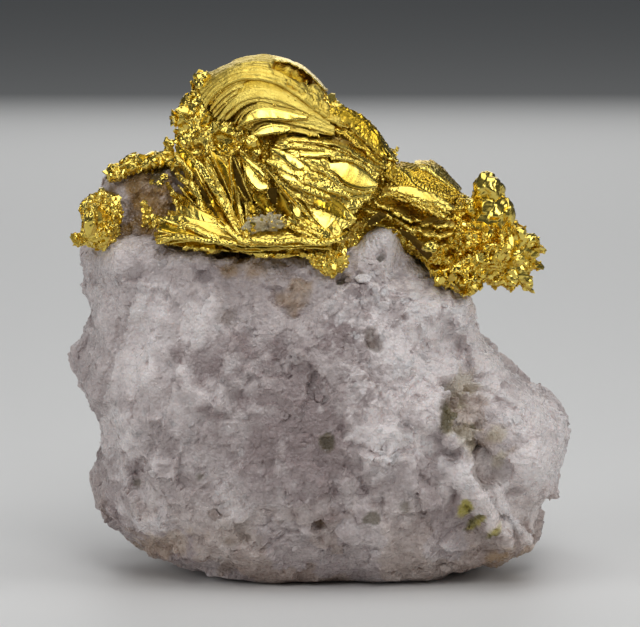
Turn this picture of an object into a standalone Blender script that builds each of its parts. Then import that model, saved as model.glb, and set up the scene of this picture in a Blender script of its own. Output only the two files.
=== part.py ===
"""Gold in quartz: bent leaves of native gold grown on a block of milky quartz.

Run it with   blender --background --python part.py   or from Blender's text editor.

Sizes and places are in millimetres; `place()` turns them into Blender's metres as each mesh is made.
+X is right, +Z is up and the front looks along -Y. The origin is under the middle, on the flat foot.
"""

import math

import bmesh
import bpy
import numpy as np
from mathutils import Vector, noise

MM = 0.001

# ---------------------------------------------------------------- driving dimensions, millimetres

GAP = 0.45  # how far the gold is cut back from the quartz
LEAF_THICKNESS = 0.8
LEAF_REACH = 0.9  # how far the edge of a leaf stands in front of the growth it springs from
LEAF_TUCK = 4.0  # how far its root lies behind that

QUARTZ_VOXEL, QUARTZ_TRIANGLES = 0.45, 3800
GOLD_VOXEL, GOLD_TRIANGLES = 0.28, 4250
TUFT_VOXEL, TUFT_TRIANGLES = 0.28, 540

FOOT_SHARE = 0.12  # share of the block's rings that make its foot
PLATEAU_SHARE = 0.24  # share of its rings that make the top it carries the gold on
PLATEAU_HEIGHT = 40.2
SINK = 0.6  # how much of the block's rounded underside is cut off level

# Each level is (height, left, right, front, back): the reach of the rock or the gold at that height.
BLOCK_LEVELS = [
    (-SINK, -12.0, 16.6, -8.0, 8.5),
    (0.0, -16.6, 18.4, -10.5, 10.5),
    (1.4, -19.8, 20.8, -12.8, 12.8),
    (2.9, -22.8, 25.8, -14.8, 14.2),
    (5.6, -25.8, 27.0, -16.6, 15.6),
    (8.6, -27.2, 27.0, -17.6, 16.6),
    (11.4, -27.4, 28.8, -18.2, 17.2),
    (15.6, -26.8, 29.9, -18.6, 17.6),
    (17.4, -26.8, 30.0, -18.6, 17.4),
    (20.0, -27.6, 27.2, -18.4, 17.0),
    (22.6, -28.5, 24.3, -18.0, 16.4),
    (25.6, -29.0, 21.5, -17.4, 15.8),
    (28.3, -27.9, 19.2, -16.6, 15.2),
    (29.4, -27.6, 19.5, -16.2, 15.0),
    (31.8, -27.6, 17.7, -15.4, 14.2),
    (34.6, -28.1, 18.2, -14.4, 13.2),
    (36.4, -28.6, 15.6, -13.6, 12.6),
    (38.6, -29.1, 12.8, -12.6, 11.8),
    (39.8, -28.8, 11.6, -11.6, 11.0),
]
KNOB_LEVELS = [
    (34.0, -26.4, -13.0, -10.5, 6.0),
    (40.5, -26.9, -13.0, -9.8, 6.4),
    (44.0, -26.6, -13.2, -8.4, 6.0),
    (47.0, -26.2, -13.8, -6.6, 5.2),
    (49.2, -25.2, -14.2, -4.8, 4.2),
    (50.6, -22.6, -15.6, -3.0, 2.6),
]
# Peaks of the plateau: (x, y, width, rise).
PLATEAU_PEAKS = [(8.4, -9.0, 3.2, 2.7), (3.6, -10.4, 2.2, 0.9), (-21.0, -8.0, 5.0, 0.9)]
BLOCK_CHIPS = [(10.0, 1.0), (4.8, 0.8)]  # (size, depth) of the chips it is broken into
LEDGE_X, LEDGE_Z, LEDGE_REACH = -19.0, 28.0, 10.0
LEDGE_LEAN, LEDGE_SPACING, LEDGE_STEP = 22.0, 4.4, 1.1
# Rounded bosses and flakes that stand on the block:
# (x, y, z, half width, half depth, half height, lean in degrees).
BOSSES = [
    (17.4, -15.8, 14.6, 2.6, 2.3, 2.6, 0.0),
    (19.6, -15.4, 12.0, 2.7, 2.4, 2.4, 0.0),
    (21.6, -14.4, 9.2, 2.7, 2.5, 2.5, 0.0),
    (23.4, -13.0, 6.6, 2.3, 2.4, 2.2, 0.0),
    (24.6, -13.2, 15.2, 2.6, 2.6, 3.4, 38.0),
    (-29.0, -4.0, 24.6, 0.9, 2.4, 2.9, -8.0),
    (27.9, -6.4, 11.2, 1.1, 2.8, 1.6, -20.0),
    (16.0, -8.0, 33.0, 2.3, 4.6, 2.6, 0.0),
]
# Hollows worn into it, in the same form.
HOLLOWS = [
    (18.0, -18.9, 20.8, 3.0, 3.0, 5.4, 22.0),
    (23.0, -18.6, 12.8, 1.0, 3.2, 6.4, -34.0),
    (21.8, -15.8, 0.6, 5.8, 9.0, 2.9, -8.0),
    (1.8, -18.4, 27.2, 1.5, 1.7, 2.3, -32.0),
    (-27.4, -13.6, 35.6, 3.0, 4.0, 4.0, 30.0),
]

# The growth of gold over the left of the plateau, under its leaves.
DOME_LEVELS = [
    (36.0, -13.0, 6.4, -8.5, 8.4),
    (40.0, -13.6, 8.0, -9.4, 9.0),
    (43.0, -13.6, 8.4, -9.2, 9.0),
    (46.0, -14.0, 8.6, -8.4, 8.4),
    (49.0, -15.8, 8.6, -7.6, 7.6),
    (51.0, -16.6, 8.6, -7.0, 7.2),
    (53.2, -16.8, 7.0, -6.4, 6.6),
    (56.2, -17.0, 3.4, -5.4, 5.6),
    (58.4, -16.0, 1.2, -4.2, 4.6),
    (60.2, -13.6, -0.8, -3.0, 3.6),
    (61.5, -10.6, -2.6, -1.8, 2.4),
    (62.5, -8.2, -5.4, -0.8, 1.2),
]
# The growth over the right shoulder, out to where its twigs spring from.
SHOULDER_LEVELS = [
    (34.9, 16.2, 18.6, -9.4, -4.0),
    (36.2, 14.0, 19.4, -10.4, 0.0),
    (38.4, 12.4, 23.0, -10.6, 2.6),
    (41.0, 7.4, 24.4, -9.8, 4.0),
    (43.4, 3.0, 23.6, -8.0, 4.6),
    (45.6, 1.6, 18.8, -5.8, 4.2),
    (47.2, 3.0, 16.0, -4.4, 3.4),
    (49.6, 6.0, 12.4, -3.0, 2.2),
]
# The patch that wraps the left corner of the knob.
TUFT_LEVELS = [
    (40.2, -28.4, -24.4, -9.4, -2.0),
    (42.2, -29.2, -23.8, -10.2, -1.0),
    (44.2, -29.0, -23.6, -10.2, -0.6),
    (45.8, -28.9, -23.8, -9.2, -1.4),
    (46.8, -28.0, -24.4, -8.4, -2.4),
    (47.4, -27.2, -25.4, -7.4, -4.0),
]

# ---------------------------------------------------------------- materials


def material(name, colour, roughness, metallic):
    """A Principled BSDF of one colour."""
    made = bpy.data.materials.new(name)
    made.use_nodes = True
    shader = made.node_tree.nodes["Principled BSDF"]
    shader.inputs["Base Color"].default_value = (*colour, 1.0)
    shader.inputs["Roughness"].default_value = roughness
    shader.inputs["Metallic"].default_value = metallic
    made.diffuse_color = (*colour, 1.0)
    return made


# ---------------------------------------------------------------- meshes and collections


def place(name, bm, where):
    """The bmesh, read as millimetres, as an object in a collection."""
    bmesh.ops.scale(bm, vec=(MM, MM, MM), verts=bm.verts)
    bmesh.ops.recalc_face_normals(bm, faces=bm.faces)
    mesh = bpy.data.meshes.new(name)
    bm.to_mesh(mesh)
    bm.free()
    made = bpy.data.objects.new(name, mesh)
    where.objects.link(made)
    return made


def helpers(name, inside):
    """A collection for shapes that only build others: it isn't rendered."""
    made = bpy.data.collections.new(name)
    inside.children.link(made)
    made.hide_render = True
    return made


def evaluated_mesh(target):
    """A new mesh of the object with its modifiers applied."""
    bpy.context.view_layer.update()
    graph = bpy.context.evaluated_depsgraph_get()
    return bpy.data.meshes.new_from_object(target.evaluated_get(graph))


def triangle_count(mesh):
    """How many triangles its polygons make."""
    return sum(len(polygon.vertices) - 2 for polygon in mesh.polygons)


# ---------------------------------------------------------------- lumps


def broken(point, cell, depth):
    """How far a broken surface stands out at a point.

    Its chips are Voronoi cells, each with a tilt of its own and a little higher or lower than the next.
    """
    centre = noise.voronoi(point / cell)[1][0]
    tilt = noise.cell_vector(centre * 7.0) - Vector((0.5, 0.5, 0.5))
    return depth * (tilt.dot(point / cell - centre) * 2.2 + tilt.x)


def break_surface(bm, cell, depth):
    """Moves each vertex along its normal by `broken`."""
    bmesh.ops.recalc_face_normals(bm, faces=bm.faces)
    bm.normal_update()
    moves = [vertex.normal * broken(vertex.co, cell, depth) for vertex in bm.verts]
    for vertex, move in zip(bm.verts, moves):
        vertex.co += move


def level_at(levels, height):
    """(left, right, front, back) of a table of levels at a height, read between its rows."""
    rows = np.array(levels)
    return [float(np.interp(height, rows[:, 0], rows[:, column])) for column in range(1, 5)]


def ring_point(levels, height, angle, share, squareness):
    """The point at `angle` on the rounded rectangle of a level, `share` of the way out from its middle."""
    left, right, front, back = level_at(levels, height)
    c, s = math.cos(angle), math.sin(angle)
    out = share * (abs(c) ** squareness + abs(s) ** squareness) ** (-1 / squareness)
    x = (left + right) / 2 + out * c * (right - left) / 2
    y = (front + back) / 2 + out * s * (back - front) / 2
    return x, y


def front_at(levels, x, height, squareness=2.2):
    """The y of the front of a lump at a point of the front view."""
    left, right, front, back = level_at(levels, height)
    across = min(1.0, abs(2 * x - left - right) / (right - left))
    bulge = (1 - across**squareness) ** (1 / squareness)
    return (front + back) / 2 + (front - back) / 2 * bulge


def lofted_lump(name, levels, where, around=28, up=18, squareness=2.2, chips=((4.0, 0.4),)):
    """A UV sphere with its rings spread evenly over a table of levels, then broken into chips."""
    bm = bmesh.new()
    bmesh.ops.create_uvsphere(bm, u_segments=around, v_segments=up, radius=1.0)
    bottom, top = levels[0][0], levels[-1][0]
    for vertex in bm.verts:
        down = math.acos(max(-1.0, min(1.0, vertex.co.z))) / math.pi
        share = min(1.0, 1.25 * min(down, 1 - down) * up)
        height = top + (bottom - top) * down
        angle = math.atan2(vertex.co.y, vertex.co.x)
        vertex.co = (*ring_point(levels, height, angle, share, squareness), height)
    for cell, depth in chips:
        break_surface(bm, cell, depth)
    return place(name, bm, where)


def ball(name, centre, radii, where, lean=0.0, cell=2.2, depth=0.3):
    """An icosphere stretched to three half sizes, leant about Y and broken into chips."""
    bm = bmesh.new()
    bmesh.ops.create_icosphere(bm, subdivisions=2, radius=1.0)
    c, s = math.cos(math.radians(lean)), math.sin(math.radians(lean))
    for vertex in bm.verts:
        x, y, z = (vertex.co[i] * radii[i] for i in range(3))
        vertex.co = (centre[0] + c * x + s * z, centre[1] + y, centre[2] - s * x + c * z)
    break_surface(bm, cell, depth)
    return place(name, bm, where)


def twig(name, start, end, start_radius, end_radius, where):
    """A tapered twig of gold: a capped cone from one point to another."""
    start, end = Vector(start), Vector(end)
    along = end - start
    bm = bmesh.new()
    bmesh.ops.create_cone(
        bm, cap_ends=True, segments=7, radius1=start_radius, radius2=end_radius, depth=along.length
    )
    turn = along.to_track_quat("Z", "Y").to_matrix().to_4x4()
    turn.translation = (start + end) / 2
    bm.transform(turn)
    return place(name, bm, where)


# ---------------------------------------------------------------- leaves


def along_line(points, u):
    """The point at u, from 0 to 1, on the smooth Catmull-Rom line through a list of points."""
    spans = len(points) - 1
    i = min(int(u * spans), spans - 1)
    t = u * spans - i
    p0, p1, p2, p3 = (points[min(max(k, 0), spans)] for k in (i - 1, i, i + 1, i + 2))
    straight = 2 * p1 + (p2 - p0) * t
    bend = (2 * p0 - 5 * p1 + 4 * p2 - p3) * t**2
    twist = (3 * p1 - p0 - 3 * p2 + p3) * t**3
    return 0.5 * (straight + bend + twist)


def leaf(name, root, edge, where, swell=0.0, length_steps=10, width_steps=2):
    """A bent plate of gold from a root line to a free edge, which swells forward by `swell` between them.

    A grid is laid between the two lines, and Solidify gives it its thickness.
    """
    bm = bmesh.new()
    bmesh.ops.create_grid(bm, x_segments=length_steps, y_segments=width_steps, size=0.5)
    for vertex in bm.verts:
        u, v = vertex.co.x + 0.5, vertex.co.y + 0.5
        point = along_line(root, u).lerp(along_line(edge, u), v)
        point.y -= swell * 4 * v * (1 - v)
        vertex.co = point
    made = place(name, bm, where)
    shell = made.modifiers.new("thickness", "SOLIDIFY")
    shell.thickness = LEAF_THICKNESS * MM
    shell.offset = 0.0
    return made


def on_front(levels, line, forward):
    """A line of (x, height) pairs laid on the front of a lump, and `forward` in front of it."""
    return [Vector((x, front_at(levels, x, z) - forward, z)) for x, z in line]


def leaf_family(name, levels, first, last, count, where, tuck=(0.0, LEAF_TUCK, 0.6), reach=LEAF_REACH):
    """`count` leaves whose free edges step from one line of the front view to another."""
    for k in range(count):
        t = k / max(1, count - 1)
        line = [(a[0] + (b[0] - a[0]) * t, a[1] + (b[1] - a[1]) * t) for a, b in zip(first, last)]
        edge = on_front(levels, line, reach)
        root = [point + Vector(tuck) for point in edge]
        leaf(f"{name}_{k}", root, edge, where)


def cap_sheet(where):
    """The smooth outer sheet that folds over the crown of the dome and ends in a curved lip."""
    crest = [(-17.4, 56.0), (-15.0, 59.2), (-11.4, 61.4), (-7.0, 62.8), (-2.8, 61.6), (0.2, 58.5)]
    crest.append((3.5, 55.0))
    lip = [(-15.0, 54.4), (-13.4, 57.6), (-11.2, 59.2), (-7.8, 60.0), (-4.2, 59.4), (-1.0, 57.2)]
    lip.append((1.9, 54.4))
    root = [Vector((x, 1.0, z)) for x, z in crest]
    edge = on_front(DOME_LEVELS, lip, 0.9)
    leaf("cap", root, edge, where, swell=0.9, length_steps=16, width_steps=4)


def nested_arches(where):
    """Arches under the lip of the cap, each inside the last; their right ends trail off down the slope."""
    first = [(-13.2, 54.4), (-11.8, 57.4), (-7.8, 58.8), (-3.4, 57.8), (2.4, 54.4), (7.6, 51.4)]
    last = [(-8.4, 53.0), (-7.4, 54.2), (-5.8, 54.6), (-3.8, 54.3), (-1.4, 53.4), (1.8, 52.2)]
    leaf_family("arch", DOME_LEVELS, first, last, 6, where, tuck=(0.2, 3.4, 1.0))


def right_fan(where):
    """Long leaves that sweep from the heart of the dome down to its right."""
    first = [(-4.6, 53.0), (-0.6, 52.8), (4.0, 51.2), (8.8, 50.2)]
    last = [(-6.0, 48.4), (-3.2, 45.8), (0.4, 44.0), (4.8, 43.4)]
    leaf_family("right_leaf", DOME_LEVELS, first, last, 6, where, tuck=(0.6, 3.6, 1.6), reach=1.5)


def left_fan(where):
    """Leaves that stand on edge and lean in to one foot, like the pages of a half-open book."""
    first = [(-15.6, 50.6), (-13.4, 46.0), (-9.4, 41.0)]
    last = [(-9.8, 52.4), (-9.2, 48.6), (-7.8, 43.6)]
    leaf_family("left_leaf", DOME_LEVELS, first, last, 5, where, tuck=(-1.4, 4.4, 0.4), reach=2.2)


def lower_fan(where):
    """Shorter leaves that fall from under the heart towards the front edge of the quartz."""
    first = [(-3.4, 46.6), (0.4, 44.2), (3.6, 42.4)]
    last = [(-8.0, 42.8), (-3.6, 41.6), (2.4, 41.0)]
    leaf_family("lower_leaf", DOME_LEVELS, first, last, 4, where, tuck=(0.4, 3.6, 1.0), reach=1.4)


def skirt(where):
    """The lowest leaves, which run along the front edge of the quartz and stand a little over it."""
    for k, (drop, forward) in enumerate([(0.0, 0.0), (1.3, 0.9), (2.5, 1.5)]):
        lip = [
            Vector((-19.8 + 0.4 * k, -9.6 - forward, 44.0 - drop)),
            Vector((-14.6, -12.0 - forward, 43.6 - drop)),
            Vector((-8.6, -12.0 - forward, 42.6 - 0.7 * drop)),
        ]
        root = [point + Vector((0.4, 5.4, 0.7)) for point in lip]
        leaf(f"skirt_left_{k}", root, lip, where)
        lip = [
            Vector((-9.4, -11.6 - forward, 42.2 - 0.6 * drop)),
            Vector((-3.6, -12.4 - forward, 42.0 - 0.7 * drop)),
            Vector((2.6, -11.0 - forward, 42.4 - 0.7 * drop)),
        ]
        root = [point + Vector((0.0, 5.4, 0.7)) for point in lip]
        leaf(f"skirt_right_{k}", root, lip, where)


def heart_leaf(where):
    """The upright plate at the heart of the dome, where the fans meet."""
    upper = on_front(DOME_LEVELS, [(-9.4, 51.0), (-8.0, 51.2), (-6.4, 50.8)], 0.4)
    lower = on_front(DOME_LEVELS, [(-8.2, 47.2), (-7.2, 46.8), (-5.8, 47.4)], 1.9)
    leaf("heart", upper, lower, where, swell=0.2, length_steps=4)


def back_leaves(where):
    """Shingled leaves down the back of the dome and over the back of the shoulder."""
    for k in range(6):
        z = 58.0 - 3.1 * k
        left, right = -15.6 - 0.3 * k, 1.6 + 1.9 * k
        y = 4.6 + 0.95 * k
        lip = [
            Vector((left, y - 1.4, z - 1.0)),
            Vector(((left + right) / 2, y + 0.9, z - 1.8)),
            Vector((right, y - 1.8, z - 2.4)),
        ]
        root = [point + Vector((0.3, -3.0, 2.4)) for point in lip]
        leaf(f"back_{k}", root, lip, where, swell=-0.4)


def left_crust(where):
    """Knobbly gold down the left flank of the dome."""
    knobs = [
        (-14.6, -1.8, 59.9, 1.5),
        (-16.0, -1.6, 57.6, 1.5),
        (-16.9, -2.4, 55.8, 1.5),
        (-16.4, -2.8, 53.2, 1.5),
        (-15.4, -4.2, 51.2, 1.5),
        (-14.2, -5.0, 53.6, 1.4),
        (-13.4, -5.8, 51.6, 1.3),
        (-15.2, -6.6, 47.4, 1.6),
    ]
    for k, (x, y, z, radius) in enumerate(knobs):
        ball(f"knob_{k}", (x, y, z), (radius, radius * 1.3, radius), where, cell=1.2, depth=0.3)


def rim_crust(where):
    """A row of fused beads along the crest of the quartz knob, from the dome out to the left."""
    crest = [
        Vector((-16.4, -3.2, 50.2)),
        Vector((-19.2, -3.0, 50.8)),
        Vector((-21.6, -2.8, 50.3)),
        Vector((-23.4, -3.2, 50.0)),
        Vector((-25.0, -3.6, 49.2)),
    ]
    count = 10
    for k in range(count):
        radius = 1.1 + 0.25 * math.sin(2.3 * k)
        middle = along_line(crest, k / (count - 1))
        ball(f"bead_{k}", middle, (radius, radius * 2.2, radius), where, cell=0.9, depth=0.2)
    ball("horn", (-18.7, -2.6, 52.5), (0.6, 0.8, 1.3), where, cell=0.9, depth=0.15)


def hanging_cluster(where):
    """The knot of small crystals that hangs in the notch under the skirt."""
    knot = [(-0.6, 39.4, 1.0), (0.9, 39.0, 1.2), (2.4, 39.6, 1.1), (1.5, 40.6, 1.3), (1.2, 38.0, 0.7)]
    for k, (x, z, radius) in enumerate(knot):
        ball(f"hanging_{k}", (x, -13.0, z), (radius, radius * 1.5, radius), where, cell=0.9, depth=0.25)


def shoulder_leaves(where):
    """The ribbed leaf that slopes off the dome, and the stacked blades under it."""
    first = [(8.6, 50.4), (12.8, 49.1), (17.0, 46.1)]
    last = [(9.0, 47.6), (12.4, 46.8), (16.2, 45.2)]
    leaf_family("feather", SHOULDER_LEVELS, first, last, 4, where, tuck=(0.2, 3.2, -1.2), reach=0.9)
    first = [(4.6, 46.4), (9.6, 45.6), (15.4, 43.6)]
    last = [(5.6, 42.4), (9.8, 42.4), (15.0, 40.8)]
    leaf_family("stacked", SHOULDER_LEVELS, first, last, 4, where, tuck=(0.0, 4.0, 0.8), reach=1.2)


def nuggets(where):
    """The two smooth rounded crystals at the top right, and a small one by the quartz's shoulder."""
    ball("nugget_top", (20.1, -3.4, 47.1), (1.9, 1.8, 1.8), where, lean=25, cell=2.6, depth=0.25)
    ball("nugget_low", (20.4, -3.4, 44.4), (2.7, 2.6, 2.4), where, lean=-8, cell=2.8, depth=0.3)
    ball("nugget_small", (13.2, -10.8, 40.4), (1.0, 1.3, 0.75), where, cell=1.6, depth=0.12)


def sponge(where):
    """Lumps that fuse into the spongy mass between the stacked blades and the twigs."""
    count = 14
    for k in range(count):
        t = k / (count - 1)
        x = 13.6 + 9.0 * t + 0.8 * math.sin(5.1 * k)
        z = 39.4 + 2.6 * math.sin(2.7 * k) - 0.6 * t
        radius = 1.5 + 0.35 * math.sin(3.3 * k)
        y = front_at(SHOULDER_LEVELS, x, z) + 0.3
        ball(f"sponge_{k}", (x, y, z), (radius, radius, radius), where, cell=1.1, depth=0.35)


def twigs(where):
    """Twigs that radiate from the right end of the shoulder, with a bud on each tip."""
    hub = Vector((22.0, -3.8, 40.4))
    tips = [
        (25.6, -5.0, 40.9),
        (26.3, -4.2, 39.9),
        (26.2, -3.2, 37.9),
        (25.2, -3.8, 35.4),
        (22.9, -4.8, 35.6),
        (20.9, -5.4, 37.0),
        (24.2, -1.0, 42.0),
        (25.4, 0.4, 39.2),
        (22.8, 2.0, 37.2),
    ]
    for k, tip in enumerate(tips):
        twig(f"twig_{k}", hub, tip, 1.8, 0.7, where)
        ball(f"bud_{k}", tip, (0.95, 0.95, 0.8), where, cell=0.9, depth=0.22)


def tuft_plates(where):
    """The upright plates and the buds of the patch on the left."""
    for k in range(3):
        x = -28.2 + 1.3 * k
        front = [
            Vector((x + 0.2, -10.4, 46.2)),
            Vector((x - 0.2, -11.2, 43.8)),
            Vector((x + 0.1, -10.5, 41.4)),
        ]
        root = [point + Vector((0.3, 4.0, 0.0)) for point in front]
        leaf(f"plate_{k}", root, front, where, length_steps=4)
    ball("bud_left", (-29.4, -7.6, 41.7), (0.95, 1.4, 0.9), where, cell=1.0, depth=0.2)
    ball("bud_upper", (-28.5, -7.0, 45.2), (0.9, 1.4, 0.9), where, cell=1.0, depth=0.2)


# ---------------------------------------------------------------- the quartz


def plateau_height(x, y):
    """The top of the block: nearly level, with a few peaks, and falling away to the right."""
    height = PLATEAU_HEIGHT - 0.06 * max(0.0, x - 6.0) ** 1.6
    for peak_x, peak_y, width, rise in PLATEAU_PEAKS:
        height += rise * math.exp(-((x - peak_x) ** 2 + (y - peak_y) ** 2) / width**2)
    return height


def block_point(down, angle, pole):
    """Where a point of the sphere goes: the first rings make the plateau, the last ones the underside."""
    bottom, top = BLOCK_LEVELS[0][0], BLOCK_LEVELS[-1][0]
    squareness = 2.5
    if down < PLATEAU_SHARE:
        share = 0.0 if pole else down / PLATEAU_SHARE
        x, y = ring_point(BLOCK_LEVELS, top, angle, share, squareness)
        rim = share**6
        return x, y, plateau_height(x, y) * (1 - rim) + top * rim
    if down > 1 - FOOT_SHARE:
        share = 0.0 if pole else (1 - down) / FOOT_SHARE
        return *ring_point(BLOCK_LEVELS, bottom, angle, share, squareness), bottom
    climb = (1 - FOOT_SHARE - down) / (1 - FOOT_SHARE - PLATEAU_SHARE)
    height = bottom + (top - bottom) * climb
    return *ring_point(BLOCK_LEVELS, height, angle, 1.0, squareness), height


def quartz_block(where):
    """The main lump: a dense UV sphere drawn over the levels and broken into large and small chips."""
    bm = bmesh.new()
    bmesh.ops.create_uvsphere(bm, u_segments=120, v_segments=60, radius=1.0)
    for vertex in bm.verts:
        down = math.acos(max(-1.0, min(1.0, vertex.co.z))) / math.pi
        angle = math.atan2(vertex.co.y, vertex.co.x)
        vertex.co = block_point(down, angle, pole=abs(vertex.co.z) > 0.9999)
    for cell, depth in BLOCK_CHIPS:
        break_surface(bm, cell, depth)
    step_ledges(bm)
    return place("block", bm, where)


def step_ledges(bm):
    """Overlapping slabs on the upper left of the front: a saw-tooth across lines that lean right."""
    across_x, across_z = math.cos(math.radians(LEDGE_LEAN)), -math.sin(math.radians(LEDGE_LEAN))
    bm.normal_update()
    for vertex in bm.verts:
        x, y, z = vertex.co
        tooth = ((x * across_x + z * across_z) / LEDGE_SPACING) % 1.0
        near = math.exp(-(((x - LEDGE_X) / LEDGE_REACH) ** 4) - ((z - LEDGE_Z) / LEDGE_REACH) ** 4)
        if y < 0.0:
            vertex.co += vertex.normal * LEDGE_STEP * (0.5 - tooth) * near


def set_in_quartz(name, pieces, where, cell, depth):
    """A ball for each row of BOSSES or HOLLOWS."""
    for k, (x, y, z, half_x, half_y, half_z, lean) in enumerate(pieces):
        ball(f"{name}_{k}", (x, y, z), (half_x, half_y, half_z), where, lean=lean, cell=cell, depth=depth)


# ---------------------------------------------------------------- fusing and cutting


def fused(name, solids, voxel, triangles, where):
    """One closed skin over all the solids of a collection: a voxel Remesh, thinned by Decimate."""
    bm = bmesh.new()
    for solid in solids.objects:
        bm.from_mesh(evaluated_mesh(solid))
    mesh = bpy.data.meshes.new(name)
    bm.to_mesh(mesh)
    bm.free()
    made = bpy.data.objects.new(name, mesh)
    where.objects.link(made)
    add_skin(made, voxel, triangles)
    return made


def add_skin(target, voxel, triangles):
    """A voxel Remesh and the Decimate that thins it to about `triangles`."""
    skin = target.modifiers.new("skin", "REMESH")
    skin.mode = "VOXEL"
    skin.voxel_size = voxel * MM
    dense = triangle_count(evaluated_mesh(target))
    thin = target.modifiers.new("facets", "DECIMATE")
    thin.ratio = min(1.0, triangles / dense)


def cut(target, cutter):
    """An exact Boolean difference."""
    taken = target.modifiers.new("cut", "BOOLEAN")
    taken.operation = "DIFFERENCE"
    taken.solver = "EXACT"
    taken.object = cutter


def below_foot(where):
    """A block under z = 0, to cut the foot level."""
    deep, wide = 20.0, 90.0
    bm = bmesh.new()
    bmesh.ops.create_cube(bm, size=1.0)
    bmesh.ops.scale(bm, vec=(wide, wide, deep), verts=bm.verts)
    bmesh.ops.translate(bm, vec=(0, 0, -deep / 2), verts=bm.verts)
    return place("below_foot", bm, where)


def clear_space(quartz, where):
    """The quartz swollen by the gap, to cut the gold back from it."""
    made = bpy.data.objects.new("clear_space", evaluated_mesh(quartz))
    where.objects.link(made)
    swell = made.modifiers.new("swell", "DISPLACE")
    swell.strength = GAP * MM
    swell.mid_level = 0.0
    add_skin(made, QUARTZ_VOXEL, QUARTZ_TRIANGLES)
    return made


def bake(target):
    """Turns an object's modifiers into its mesh, and keeps only its main body."""
    mesh = evaluated_mesh(target)
    target.modifiers.clear()
    target.data = mesh
    bm = bmesh.new()
    bm.from_mesh(mesh)
    keep_main_body(bm)
    bmesh.ops.triangulate(bm, faces=bm.faces)
    bm.to_mesh(mesh)
    bm.free()


def keep_main_body(bm):
    """Deletes crumbs that a cut left loose, and the walls of pockets that the leaves closed in."""
    left = set(bm.verts)
    bodies = []
    while left:
        body, search = set(), [left.pop()]
        while search:
            vertex = search.pop()
            body.add(vertex)
            near = {edge.other_vert(vertex) for edge in vertex.link_edges} & left
            left -= near
            search.extend(near)
        bodies.append(body)
    main_body = max(bodies, key=len)
    bmesh.ops.delete(bm, geom=[vertex for vertex in bm.verts if vertex not in main_body], context="VERTS")


def centre_under(nodes, frame):
    """Shifts the frame so that the origin is under the middle of the specimen."""
    points = np.array([vertex.co for node in nodes for vertex in node.data.vertices])
    middle = (points.min(axis=0) + points.max(axis=0)) / 2
    frame.location = (-middle[0], -middle[1], 0.0)


# ---------------------------------------------------------------- the specimen


def build_quartz(specimen, workshop):
    """The rock, baked, with its hollows cut and its foot level."""
    lumps = helpers("quartz_lumps", workshop)
    quartz_block(lumps)
    lofted_lump("smoky_knob", KNOB_LEVELS, lumps, squareness=2.4, chips=((4.2, 0.8), (2.0, 0.35)))
    set_in_quartz("boss", BOSSES, lumps, cell=2.0, depth=0.4)
    hollows = helpers("quartz_hollows", workshop)
    set_in_quartz("hollow", HOLLOWS, hollows, cell=2.6, depth=0.4)
    made = fused("quartz_matrix", lumps, QUARTZ_VOXEL, QUARTZ_TRIANGLES, specimen)
    for hollow in hollows.objects:
        cut(made, hollow)
    cut(made, below_foot(workshop))
    bake(made)
    return made


def build_gold_mass(specimen, workshop):
    """The main growth of gold, not yet cut back from the rock."""
    parts = helpers("gold_parts", workshop)
    lofted_lump("dome", DOME_LEVELS, parts, chips=((3.0, 0.35),))
    lofted_lump("shoulder", SHOULDER_LEVELS, parts, chips=((1.8, 0.5),))
    for grow in (
        cap_sheet,
        nested_arches,
        right_fan,
        left_fan,
        lower_fan,
        skirt,
        heart_leaf,
        back_leaves,
        left_crust,
        rim_crust,
        hanging_cluster,
        shoulder_leaves,
        nuggets,
        sponge,
        twigs,
    ):
        grow(parts)
    return fused("gold_leaf_mass", parts, GOLD_VOXEL, GOLD_TRIANGLES, specimen)


def build_left_tuft(specimen, workshop):
    """The small patch of gold on the left, not yet cut back from the rock."""
    parts = helpers("tuft_parts", workshop)
    lofted_lump("tuft", TUFT_LEVELS, parts, around=16, up=10, chips=((1.4, 0.4),))
    tuft_plates(parts)
    return fused("gold_left_tuft", parts, TUFT_VOXEL, TUFT_TRIANGLES, specimen)


def main():
    """Clears the scene and builds the specimen."""
    for old in list(bpy.data.objects):
        bpy.data.objects.remove(old)
    root = bpy.context.scene.collection
    specimen = bpy.data.collections.new("gold_in_quartz")
    root.children.link(specimen)
    workshop = helpers("workshop", root)
    frame = bpy.data.objects.new("specimen", None)
    specimen.objects.link(frame)

    quartz = build_quartz(specimen, workshop)
    space = clear_space(quartz, workshop)
    gold_nodes = [build_gold_mass(specimen, workshop), build_left_tuft(specimen, workshop)]
    for node in gold_nodes:
        cut(node, space)
        bake(node)

    quartz.data.materials.append(material("milky_quartz", (0.66, 0.62, 0.61), 0.45, 0.0))
    gold = material("native_gold", (0.83, 0.62, 0.18), 0.28, 1.0)
    for node in gold_nodes:
        node.data.materials.append(gold)
    for node in (quartz, *gold_nodes):
        node.parent = frame
    centre_under((quartz, *gold_nodes), frame)
    for helper in workshop.all_objects:
        helper.hide_render = True
        helper.display_type = "WIRE"


main()
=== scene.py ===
# %% [markdown]
# # Gold in quartz
#
# The real thing is a hand-sized piece of a quartz vein. Native gold grew in an open crack of it as thin
# bent leaves, and the acid that cleaned the piece left the leaves standing on a block of milky quartz.
#
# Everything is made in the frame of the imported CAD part. The solids there already have the outline and
# the large forms, so this script only adds what the eye sees from close by: broken quartz that lets
# light in, some hundreds of leaves and twigs of gold, and thousands of small crystals.

import itertools

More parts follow.
